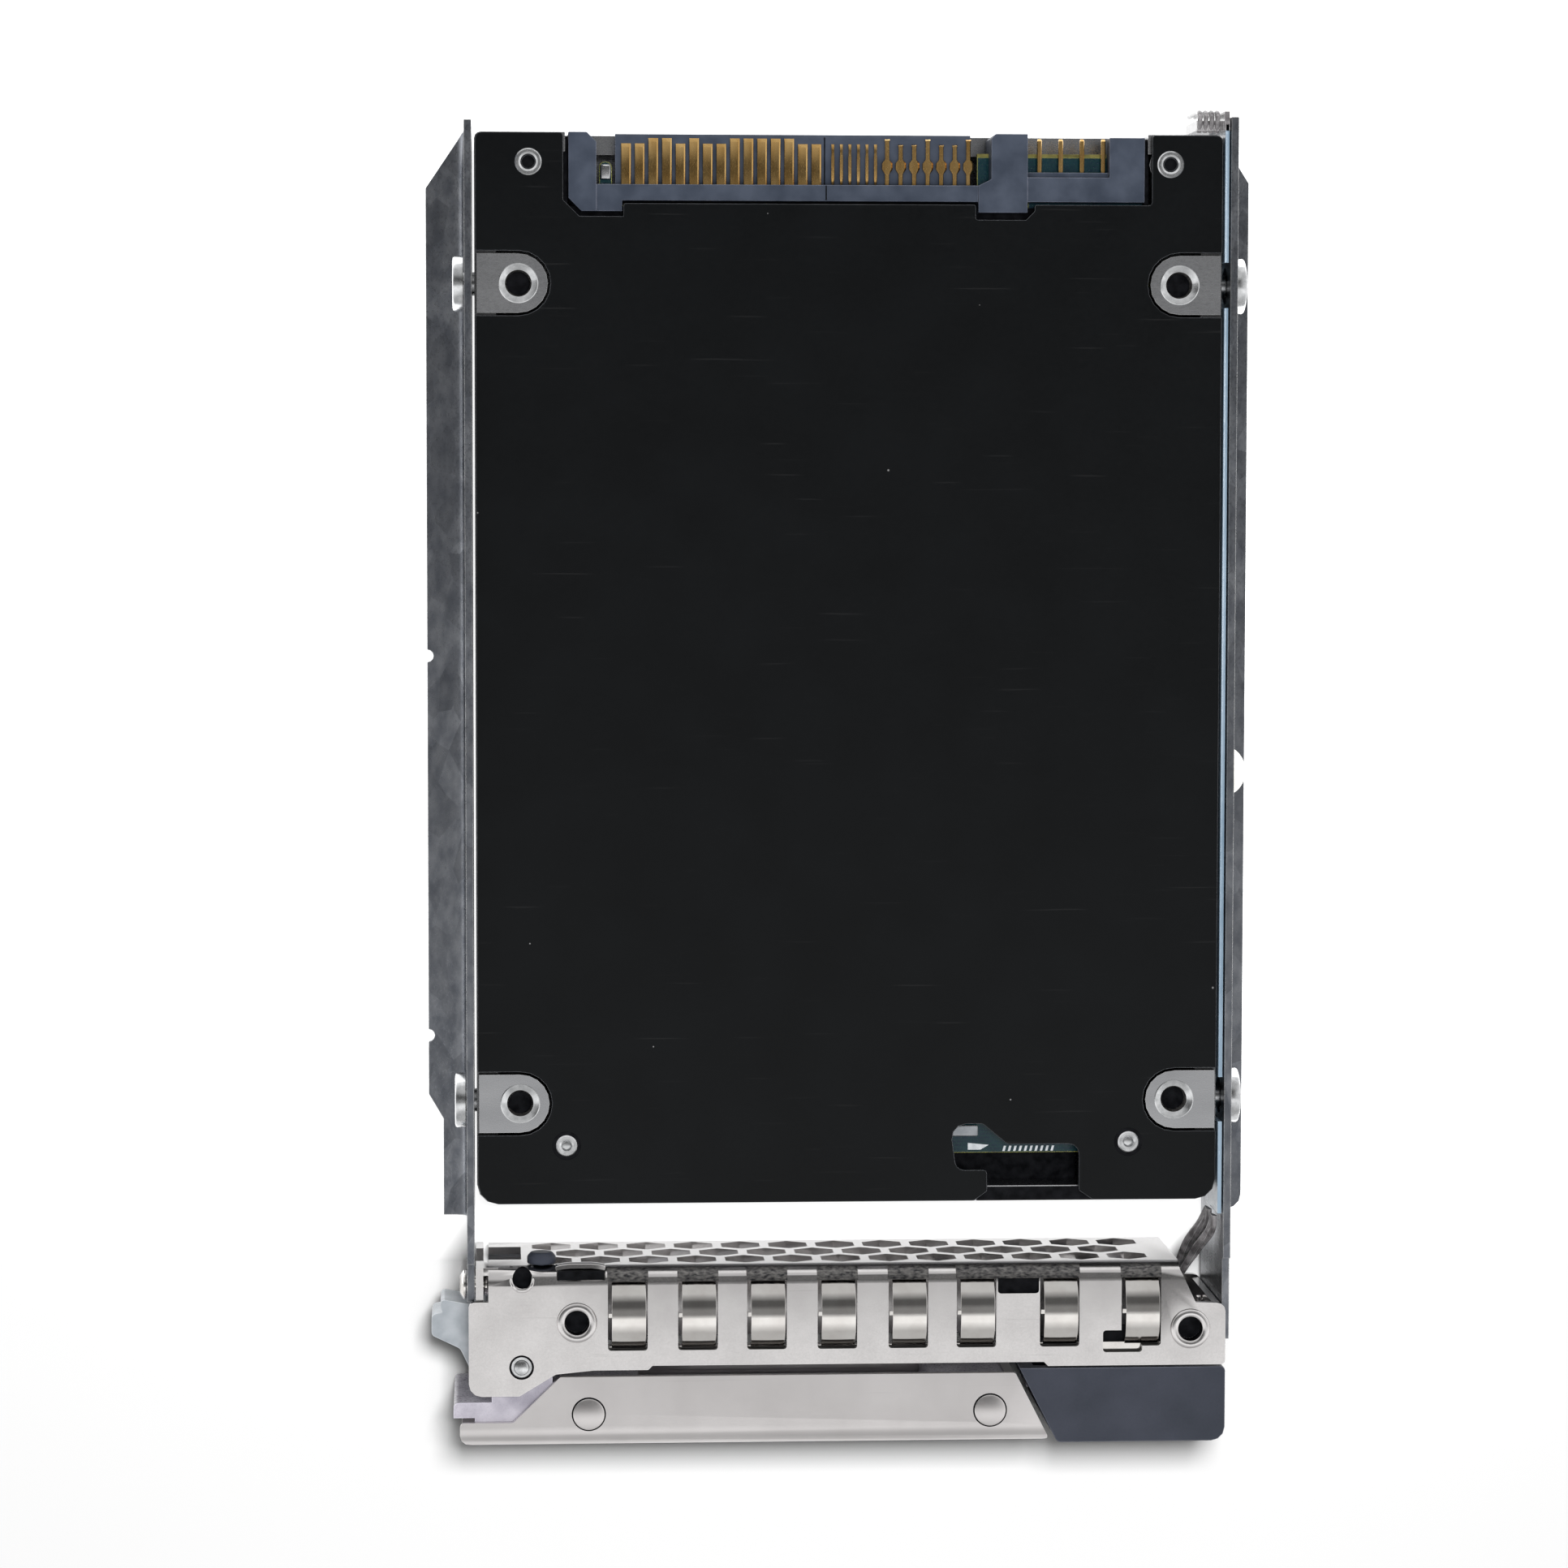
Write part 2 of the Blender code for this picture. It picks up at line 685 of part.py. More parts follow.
# ------------------------------------------------------------------- electronics
def main_board():
    """The circuit board, with ears beside the connector and notches round its walls."""
    side = board_half
    front = board_front
    ledge = -(GUIDE_DEPTH + GAP)
    outline = [
        (-side, ledge),
        (-23.3, ledge),
        (-23.3, -2.6, 0.5),
        (-22.1, -2.6, 0.5),
        (-22.1, -6.65),
        (KEY_LEFT - 1.5, -6.65),
        (KEY_LEFT - 1.5, ledge),
        (KEY_RIGHT + GAP, ledge),
        (KEY_RIGHT + GAP, -4.6, 0.8),
        (24.0, -4.6, 0.8),
        (24.0, -5.8),
        (side, -5.8),
        (side, front + 4.2),
        (side - 3.8, front + 4.2, 0.6),
        (side - 3.8, front),
        (-side + 3.8, front),
        (-side + 3.8, front + 4.2, 0.6),
        (-side, front + 4.2),
    ]
    holes = [circle(x, y, 1.1, 16) for x, y in standoff_places()]
    return plate("main_board", "XY", rounded(outline), board_low, board_high, board_green, holes)


def chip(name, x, y, width, length, near):
    """A chip on the board's near or far face."""
    low = board_high + FIT if near else board_low - FIT - CHIP_HEIGHT
    return box(
        name, (x - width / 2, x + width / 2), (y - length / 2, y + length / 2), (low, low + CHIP_HEIGHT),
        chip_black, bevel=0.12,
    )


def electronics():
    """Chips, capacitors, thermal pads, board screws and the debug socket."""
    chip("controller_chip", 0.0, -27.0, CONTROLLER_SIZE, CONTROLLER_SIZE, True)
    chip("memory_chip", 17.5, -27.0, MEMORY_WIDTH, MEMORY_LENGTH, True)
    rows = (-56.0, -78.0)
    places = [(side * FLASH_OFFSET_X, y, True) for y in rows for side in (-1, 1)]
    places += [(side * FLASH_OFFSET_X, rows[0], False) for side in (-1, 1)]
    for number, (x, y, near) in enumerate(places, 1):
        chip(f"flash_chip_{number}", x, y, FLASH_WIDTH, FLASH_LENGTH, near)
    pad_low = board_high + CHIP_HEIGHT + 2 * FIT
    pad_range = (pad_low, pad_low + PAD_THICKNESS)
    reach = FLASH_OFFSET_X + FLASH_WIDTH / 2
    box("thermal_pad", (-reach, reach), (rows[1] - 9.0, rows[0] + 9.0), pad_range, pad_grey)
    for number, x in enumerate((-11.0, 11.0), 1):
        radius = CAPACITOR_RADIUS
        half = CAPACITOR_LENGTH / 2
        turned(
            f"hold_up_capacitor_{number}",
            [(0.0, half), (radius - 0.4, half), (radius, half - 0.4), (radius, half - 1.4),
             (radius - 0.3, half - 1.7), (radius, half - 2.0), (radius, -half), (0.0, -half)],
            "X", (x, -17.5, board_low - FIT - radius), capacitor_sleeve, steps=16,
        )
    for number, (x, y) in enumerate(standoff_places(), 1):
        length = BOARD_THICKNESS + 3.0
        small_screw(f"board_screw_{number}", (x, y, board_high + FIT), "Z", 1.8, 0.9, 0.7, length)
    socket_y = board_front + 1.7
    box(
        "debug_socket", (10.0, 12.5), (socket_y, socket_y + 1.0), (board_high + FIT, board_high + 0.9),
        pad_grey, bevel=0.1,
    )


def connector_housing():
    """The connector's moulding: tongue, guide walls, key wall and end block."""
    bar_rear = -TONGUE_DEPTH
    bar_front = -(TONGUE_DEPTH + 1.5)
    high = CONNECTOR_HIGH - 0.2
    tongue = [
        (bar_rear - 0.3, tongue_low),
        (-0.5, tongue_low),
        (0.0, tongue_low + 0.35),
        (0.0, tongue_high - 0.35),
        (-0.5, tongue_high),
        (bar_rear - 0.3, tongue_high),
    ]
    body = plate("connector_housing", "YZ", tongue, TONGUE_LEFT, TONGUE_RIGHT, connector_plastic)
    wall = rounded([
        (CONNECTOR_LEFT, 0.0),
        (CONNECTOR_LEFT, -GUIDE_DEPTH + 1.2),
        (CONNECTOR_LEFT + 1.2, -GUIDE_DEPTH),
        (-23.6, -GUIDE_DEPTH),
        (-23.6, -0.9),
        (-24.5, 0.0),
    ])
    key = rounded([
        (KEY_LEFT, -0.4),
        (KEY_LEFT, bar_rear + 0.6),
        (KEY_LEFT - 1.2, bar_rear),
        (KEY_LEFT - 1.2, -GUIDE_DEPTH),
        (KEY_RIGHT, -GUIDE_DEPTH),
        (KEY_RIGHT, 0.0),
        (KEY_LEFT + 0.4, 0.0),
    ])
    shelf = (CONNECTOR_LOW, board_low - GAP)
    upper = (board_high + GAP, high)
    jumper_high = board_high + 1.4
    bar_y = (bar_front, bar_rear)
    join(
        body,
        box("base_bar", (TONGUE_LEFT - 0.1, KEY_LEFT), bar_y, (CONNECTOR_LOW, high), cutter=True),
        plate("guide_wall", "XY", wall, CONNECTOR_LOW, CONNECTOR_HIGH, cutter=True),
        box("corner_block", (-24.0, TONGUE_LEFT + 0.6), (-GUIDE_DEPTH, bar_rear), upper, cutter=True),
        plate("key_wall", "XY", key, CONNECTOR_LOW, CONNECTOR_HIGH, cutter=True),
        box("left_shelf", (-24.0, TONGUE_LEFT + 0.4), bar_y, shelf, cutter=True),
        box("jumper_bar", (KEY_RIGHT - GAP, 24.6), (-4.3, -3.5), (CONNECTOR_LOW, jumper_high), cutter=True),
        box("jumper_roof", (KEY_RIGHT - 0.3, CONNECTOR_RIGHT), (bar_front, -4.0), upper, cutter=True),
        box("end_block", (24.3, CONNECTOR_RIGHT), (-5.5, -0.3), (CONNECTOR_LOW, high), cutter=True),
    )
    return body


def contact_row(name, centre, count, pitch, long_ones, width, above=True):
    """Contacts lying on the tongue, joined at their roots by a lead frame inside the moulding."""
    low_z = tongue_high + FIT if above else tongue_low - FIT - CONTACT_THICKNESS
    first = centre - pitch * (count - 1) / 2
    last = first + pitch * (count - 1)
    root = -TONGUE_DEPTH + FIT
    outline = []
    for index in range(count):
        x = first + index * pitch
        tip = -0.45 if index in long_ones else -0.95
        if not above:
            outline += [(x - width / 2, root + 0.45), (x - width / 2, tip)]
            outline += [(x + width / 2, tip), (x + width / 2, root + 0.45)]
            continue
        neck = 0.32 * width
        outline += [
            (x - width / 2, root + 0.45),
            (x - width / 2, tip - 0.9),
            (x - neck, tip - 0.35),
            (x - neck, tip),
            (x + neck, tip),
            (x + neck, tip - 0.35),
            (x + width / 2, tip - 0.9),
            (x + width / 2, root + 0.45),
        ]
    outline += [(last + width / 2, root), (first - width / 2, root)]
    return plate(name, "XY", outline[::-1], low_z, low_z + CONTACT_THICKNESS, gold)


def contacts():
    """The rows of contacts on both faces of the tongue, the jumper pins and the board lock."""
    wide_long = (2, 3, 5, 8, 9, 10, 11, 12)
    contact_row("wide_contacts", WIDE_CONTACTS_X, WIDE_CONTACT_COUNT, CONTACT_PITCH, wide_long, 0.84)
    contact_row("narrow_contacts", NARROW_CONTACTS_X, NARROW_CONTACT_COUNT, NARROW_PITCH, (), 0.42)
    contact_row("signal_contacts", SIGNAL_CONTACTS_X, SIGNAL_CONTACT_COUNT, CONTACT_PITCH, (0, 3, 6), 0.9)
    contact_row("rear_contacts", -5.2, 34, NARROW_PITCH, (), 0.42, False)
    pins = []
    first = JUMPER_FIRST_X
    for index in range(JUMPER_COUNT):
        x = first + index * JUMPER_PITCH
        pins += [(x - 0.22, -3.2), (x - 0.22, -0.5), (x, -0.35), (x + 0.22, -0.5), (x + 0.22, -3.2)]
    pins += [(first + (JUMPER_COUNT - 1) * JUMPER_PITCH + 0.22, -3.4), (first - 0.22, -3.4)]
    plate("jumper_pins", "XY", pins[::-1], board_high + 0.3, board_high + 0.75, gold)
    lock_z = (board_high + FIT, board_high + 0.5)
    box("board_lock", (-23.2, -22.2), (-4.3, -2.9), lock_z, spring_steel, bevel=0.08)


# ------------------------------------------------------------------------- rails
def rail(name, side, web, rear, front):
    """One bent rail: an upright web beside the drive and an outward flange on the floor."""
    inner = web
    outer = side * (abs(web) + SHEET)
    reach = side * flange_half
    profile = rounded([
        (inner, RAIL_HEIGHT),
        (inner, 0.0, RAIL_BEND + SHEET),
        (reach, 0.0),
        (reach, SHEET),
        (outer, SHEET, RAIL_BEND),
        (outer, RAIL_HEIGHT),
    ])
    steel = plate(name, "XZ", profile, front, rear, galvanised)
    far = side * (flange_half + 2)
    corner = [(outer, rear), (far, rear - FLANGE_SLANT * 1.6), (far, rear + 3), (outer, rear + 3)]
    bare = outer + side * 0.02
    nose = rounded([
        (bare, flange_front),
        (reach, flange_front, 1.4),
        (reach, flange_front + 4),
        (far, flange_front + 4),
        (far, front - 2),
        (bare, front - 2),
    ])
    web_low = min(inner, far) - 0.5
    web_high = max(inner, far) + 0.5
    tuck = frame_rear + GAP
    cut(
        steel,
        plate(f"{name}_rear_corner", "XY", corner, -1, 5, cutter=True),
        plate(f"{name}_nose", "XY", nose, -1, 5, cutter=True),
        box(f"{name}_under", (web_low, web_high), (front - 1, tuck), (-1, SHEET + GAP), cutter=True),
        box(f"{name}_over", (web_low, web_high), (front - 1, tuck), (frame_low - GAP, 20), cutter=True),
    )
    for number, y in enumerate(hole_rows, 1):
        ring = circle(y, screw_z, 1.75, 16)
        cut(steel, plate(f"{name}_screw_hole_{number}", "YZ", ring, web_low, web_high, cutter=True))
    return steel


def frame_rivet_place(side):
    """Where a rail is riveted to the frame's side tab: (y, z)."""
    return (ahead(2.0), 13.6) if side < 0 else (ahead(5.7), 8.0)


def rails():
    """Both rails, with the screws that hold the drive and the rivets that hold the frame."""
    left_rail = rail("left_rail", -1, left_web, LEFT_RAIL_REAR, ahead(3.3))
    right_rail = rail("right_rail", 1, right_web, RIGHT_RAIL_REAR, ahead(7.5))
    narrow = -flange_half + FLANGE_STEP
    step_y = -DRIVE_LENGTH + FLANGE_STEP_INSET
    step = rounded([
        (-flange_half - 1, step_y),
        (-flange_half, step_y),
        (narrow, step_y - 2.4),
        (narrow, flange_front - 1),
        (-flange_half - 1, flange_front - 1),
    ])
    cut(left_rail, plate("flange_step", "XY", step, -1, 5, cutter=True))
    for number, y in enumerate(FLANGE_NOTCHES, 1):
        ring = circle(-flange_half, -y, 0.6, 12)
        cut(left_rail, plate(f"flange_notch_{number}", "XY", ring, -1, 5, cutter=True))
    swing = box(
        "hook_slot", (left_web - SHEET - 1, left(0.0)), (ahead(4.0), frame_rear + GAP),
        (HOOK_LOW - HOOK_ROOM, HOOK_HIGH + HOOK_ROOM), cutter=True,
    )
    cut(left_rail, swing)
    ring = circle(-BUMPER_Y, BUMPER_Z, 1.0, 16)
    cut(right_rail, plate("bumper_hole", "YZ", ring, right_web - 1, right_web + 2, cutter=True))
    number = 0
    for side, web in ((-1, left_web), (1, right_web)):
        outer = side * (abs(web) + SHEET + FIT)
        steel = left_rail if side < 0 else right_rail
        for y in hole_rows:
            number += 1
            length = abs(outer) - half_width + THREAD_DEPTH - GAP
            small_screw(f"rail_screw_{number}", (outer, y, screw_z), "X", 2.6, 1.0, 1.1, length, side)
        y, z = frame_rivet_place(side)
        low, high = sorted((side * (abs(web) - 1), side * (abs(web) + 2)))
        cut(steel, plate(f"rivet_hole_{number}", "YZ", circle(y, z, 0.9, 16), low, high, cutter=True))
        span = 2 * SHEET + 3 * FIT
        rivet = turned(
            f"frame_rivet_{number // 2}",
            [(0, 0.6), (0.9, 0.6), (1.4, 0.25), (1.4, 0.0), (0.8, 0.0), (0.8, -span), (1.05, -span),
             (1.05, -span - 0.4), (0, -span - 0.5)],
            "X", (outer, y, z), spring_steel, steps=16,
        )
        if side < 0:
            rivet.rotation_euler = (0.0, -math.pi / 2, 0.0)
    outer = right_web + SHEET + FIT
    radius = BUMPER_RADIUS
    dome = [(radius * math.sin(step * math.pi / 12), BUMPER_HEIGHT * math.cos(step * math.pi / 12))
            for step in range(7)]
    stud = [(0.9, 0.0), (0.9, -SHEET), (0.0, -SHEET)]
    turned("rail_bumper", dome + stud, "X", (outer, -BUMPER_Y, BUMPER_Z), bumper_cream)


# ------------------------------------------------------------------- light pipe
def light_pipe():
    """A thin moulded strip beside the drive, its ribbed head and the two leads at its front."""
    low_x = half_width + FIT
    high_x = low_x + PIPE_THICKNESS
    outline = [(PIPE_REAR, PIPE_LOW), (PIPE_REAR, PIPE_HIGH)]
    for y in hole_rows:
        outline += [(y + 2.1, PIPE_HIGH), (y + 2.1, 10.2, 0.5), (y - 2.1, 10.2, 0.5), (y - 2.1, PIPE_HIGH)]
    outline += [(pipe_front, PIPE_HIGH), (pipe_front, PIPE_LOW)]
    plate("light_pipe_strip", "YZ", rounded(outline), low_x, high_x, clear_blue)
    head_left = right(2.625)
    head_right = right(0.325)
    head = [(high_x, PIPE_REAR + FIT), (high_x, PIPE_HEAD_REAR), (head_left, PIPE_HEAD_REAR)]
    head += [(head_left, 0.3), (head_right, 0.3), (head_right, PIPE_REAR + FIT)]
    block = plate("light_pipe_head", "XY", rounded(head[::-1]), PIPE_LOW, PIPE_HIGH, clear_grey)
    for number in range(4):
        x = head_left + 0.55 + number * 0.6
        groove = box(
            f"head_groove_{number}", (x - 0.12, x + 0.12), (PIPE_HEAD_REAR - 0.7, PIPE_HEAD_REAR + 1),
            (PIPE_LOW - 1, PIPE_HIGH + 1), cutter=True,
        )
        cut(block, groove)
    end = pipe_front - 2 * FIT
    start = right_web - FIT - LEAD_RADIUS
    routes = {
        1: [(start, end, 14.2), (right(0.325), ahead(-2.4), 13.6), (right(1.325), ahead(0.6), 9.5),
            (lead_x, ahead(4.5), LEAD_HIGH + 0.2), (lead_x, ahead(8.0), LEAD_HIGH),
            (lead_x, front_face + FIT, LEAD_HIGH)],
        2: [(start, end, 11.0), (right(0.425), ahead(-2.2), 9.8), (right(1.525), ahead(0.4), 5.4),
            (lead_x, ahead(4.0), LEAD_LOW + 0.1), (lead_x, ahead(8.0), LEAD_LOW),
            (lead_x, front_face + FIT, LEAD_LOW)],
    }
    for number, route in routes.items():
        wire(f"light_pipe_lead_{number}", smooth_path(route, 3), LEAD_RADIUS, clear_grey, sides=1)


# ------------------------------------------------------------------ front frame
def channel(rear, front, top, low, bend):
    """Profile of a sheet channel in y and z, open to the front; rear and front are y values."""
    t = SHEET
    way = 1 if rear > front else -1
    return rounded([
        (front, top),
        (rear, top, bend + t),
        (rear, low, bend + t),
        (front, low),
        (front, low + t),
        (rear - way * t, low + t, bend),
        (rear - way * t, top - t, bend),
        (front, top - t),
    ])


def frame_plan():
    """The front frame seen from above."""
    ear = ahead(12.15)
    return rounded([
        (left(1.025), ahead(-1.0)),
        (left(1.025), ahead(3.2)),
        (-frame_half, ahead(3.2), 0.5),
        (-frame_half, ear, 1.2),
        (pivot_x - 0.2, ear, 0.5),
        (pivot_x + 3.2, ahead(10.1), 0.6),
        (pivot_x + 6.8, frame_front),
        (-EDGE_RECESS_HALF, frame_front),
        (-EDGE_RECESS_HALF + EDGE_RECESS, frame_front + EDGE_RECESS),
        (EDGE_RECESS_HALF - EDGE_RECESS, frame_front + EDGE_RECESS),
        (EDGE_RECESS_HALF, frame_front),
        (frame_half, frame_front, 0.4),
        (frame_half, ahead(3.9), 0.8),
        (right(2.025), ahead(3.8)),
        (right(3.525), ahead(0.6)),
        (right(3.525), ahead(-1.0)),
    ])


def eyelet_places():
    """The two eyelets in the frame's near plate."""
    return ((left(9.325), ahead(5.2)), (right(2.525), ahead(6.3)))


def front_frame():
    """One bent sheet: near plate, honeycomb wall and far plate, with side tabs for the rails."""
    profile = channel(frame_rear, ahead(13.5), FRAME_TOP, 0.0, FRAME_BEND)
    sheet = plate("front_frame", "YZ", profile, -frame_half - 1, frame_half + 1, nickel)
    boolean(sheet, plate("frame_plan", "XY", frame_plan(), -5, 25, cutter=True), "INTERSECT")
    for side, x, y_rear in ((-1, left_tab_x, ahead(FIT)), (1, right_tab_x, ahead(4.1))):
        tab = box(
            f"side_tab_{2 + side}", (x - SHEET / 2, x + SHEET / 2), (y_rear - 3.3, y_rear),
            (SHEET - 0.1, frame_low + 0.1), cutter=True,
        )
        join(sheet, tab)
        y, z = frame_rivet_place(side)
        cut(sheet, plate(f"tab_hole_{2 + side}", "YZ", circle(y, z, 0.9, 16), x - 1, x + 1, cutter=True))
    bridge = box(
        "tab_bridge", (left_tab_x, left(1.925)), (ahead(FIT + SHEET), ahead(FIT)), (12.2, frame_low - FIT),
        cutter=True,
    )
    join(sheet, bridge)
    swing = box(
        "swing_slot", (-frame_half - 1, pivot_x), (ahead(4.5), ahead(-1.0)),
        (HOOK_LOW - HOOK_ROOM, HOOK_HIGH + HOOK_ROOM), cutter=True,
    )
    cut(sheet, swing)
    middle = FRAME_TOP / 2
    hexes = []
    for row in range(HEX_ROWS):
        z = middle + (row - (HEX_ROWS - 1) / 2) * HEX_ROW
        shift = HEX_PITCH_X / 2 if row % 2 else 0.0
        count = 12 if row % 2 else 13
        first = -0.5 - HEX_PITCH_X * 6 + shift
        for index in range(count):
            hexes.append(circle(first + index * HEX_PITCH_X, z, HEX_WIDTH / math.sqrt(3), 6, math.pi / 6))
    for row_name, rings in (("even", hexes[::2]), ("odd", hexes[1::2])):
        for number, ring in enumerate(rings):
            hexagon = plate(f"hex_{row_name}_{number}", "XZ", ring, ahead(1.0), ahead(-1.0), cutter=True)
            join_cutters(hexagon)
    cut(sheet, *take_cutters("honeycomb"))
    for number, edge in enumerate(FINGER_LEFT_EDGES, 1):
        ring = rectangle(edge, edge + WINDOW_WIDTH, window_front, window_rear, 0.3)
        join_cutters(plate(f"window_{number}", "XY", ring, 14, 18, cutter=True))
    cut(sheet, *take_cutters("windows"))
    foot_left = FINGER_LEFT_EDGES[-1] - FOOT_REACH
    foot = rectangle(foot_left, foot_left + WINDOW_WIDTH, window_front - 0.6, window_front + 1.5, 0.3)
    cut(sheet, plate("window_foot", "XY", foot, 14, 18, cutter=True))
    for number, (x, y) in enumerate(eyelet_places(), 1):
        cut(sheet, plate(f"eyelet_hole_{number}", "XY", circle(x, y, 1.6, 16), 14, 18, cutter=True))
    pin_hole = circle(pivot_x, pivot_y, PIN_RADIUS + FIT, 24)
    slot = rectangle(left(7.425), left(12.025), ahead(1.3), ahead(-0.7), 0.3)
    notch = rectangle(14.1, 18.0, ahead(2.8), ahead(0.9), 0.3)
    bite = circle(left(4.225), ahead(1.0), 0.95, 16)
    peg_hole = circle(left(PEG_INSET_X), PEG_Z, 0.8, 12)
    cut(
        sheet,
        plate("pin_hole", "XY", pin_hole, -2, 18, cutter=True),
        plate("tab_slot", "XY", slot, 15.2, 18, cutter=True),
        plate("plate_notch", "XY", notch, 14, 18, cutter=True),
        plate("plate_bite", "XY", bite, 14, 18, cutter=True),
        plate("peg_hole", "XZ", peg_hole, ahead(2.0), ahead(-2.0), cutter=True),
    )
    return sheet


waiting = []


def join_cutters(tool):
    """Keep a cutter for a shared cut."""
    waiting.append(tool)


def take_cutters(name):
    """Merge the kept cutters, which don't touch each other, into one cutter object."""
    work = bmesh.new()
    for tool in waiting:
        start = len(work.verts)
        work.from_mesh(tool.data)
        work.verts.ensure_lookup_table()
        local = Matrix.LocRotScale(tool.location, tool.rotation_euler, None)
        bmesh.ops.transform(work, matrix=local, verts=work.verts[start:])
        bpy.data.objects.remove(tool, do_unlink=True)
    waiting.clear()
    mesh = bpy.data.meshes.new(name)
    work.to_mesh(mesh)
    work.free()
    return (file_away(bpy.data.objects.new(name, mesh), None, cutter=True),)


def emi_strip():
    """Eight spring fingers on a strip that lies under the near plate."""
    under = frame_low - GAP - SPRING_STRIP / 2
    top = FRAME_TOP + FINGER_RISE - SPRING_STRIP / 2
    rear = window_rear - 0.25
    front = window_front + 0.25
    span = front - rear
    path = [(front - 1.1, under), (front, under)]
    for step in range(1, 9):
        share = step / 9
        height = under + (top - under) * math.sin(math.pi * min(share * 1.04, 1.0)) ** 0.7
        path.append((front - span * share, height))
    path.append((rear, under))
    strip = box(
        "emi_strip", (FINGER_LEFT_EDGES[0], FINGER_LEFT_EDGES[-1] + WINDOW_WIDTH), (front - 1.7, front - 0.6),
        (under - SPRING_STRIP / 2, under + SPRING_STRIP / 2), spring_steel,
    )
    margin = (WINDOW_WIDTH - FINGER_WIDTH) / 2
    outline = ribbon(path, SPRING_STRIP)
    for number, edge in enumerate(FINGER_LEFT_EDGES, 1):
        low = edge + margin
        join(strip, plate(f"finger_{number}", "YZ", outline, low, low + FINGER_WIDTH, cutter=True))
    return strip


def frame_details():
    """Eyelets, the black peg and the pivot pin."""
    for number, (x, y) in enumerate(eyelet_places(), 1):
        turned(
            f"eyelet_{number}",
            [(1.15, 0.25), (1.75, 0.25), (1.9, 0.1), (1.9, 0.0), (1.5, 0.0), (1.5, -2.0), (1.15, -2.0)],
            "Z", (x, y, FRAME_TOP + FIT), nickel,
        )
    peg = turned(
        "frame_peg",
        [(0, 1.1), (1.0, 1.1), (1.35, 0.7), (1.35, 0.0), (0.7, 0.0), (0.7, -1.3), (0, -1.3)],
        "Y", (left(PEG_INSET_X), frame_rear + FIT, PEG_Z), bezel_plastic, steps=16,
    )
    turned(
        "pivot_pin",
        [(0, FRAME_TOP), (PIN_RADIUS - 0.15, FRAME_TOP), (PIN_RADIUS, FRAME_TOP - 0.15), (PIN_RADIUS, 0.15),
         (PIN_RADIUS - 0.15, 0.02), (0, 0.02)],
        "Z", (pivot_x, pivot_y, 0.0), spring_steel, steps=24,
    )
    return peg


# ------------------------------------------------------------------------ lever
def lever_plan():
    """The lever's steel channel seen from above."""
    return rounded([
        (lever_left, lever_ear, 0.5),
        (lever_left, front_face, 2.0),
        (lever_right_front, front_face, 0.4),
        (lever_right_rear, lever_rear, 0.3),
        (pivot_x + 3.6, lever_rear, 0.3),
        (pivot_x - 0.8, lever_ear, 0.3),
    ])


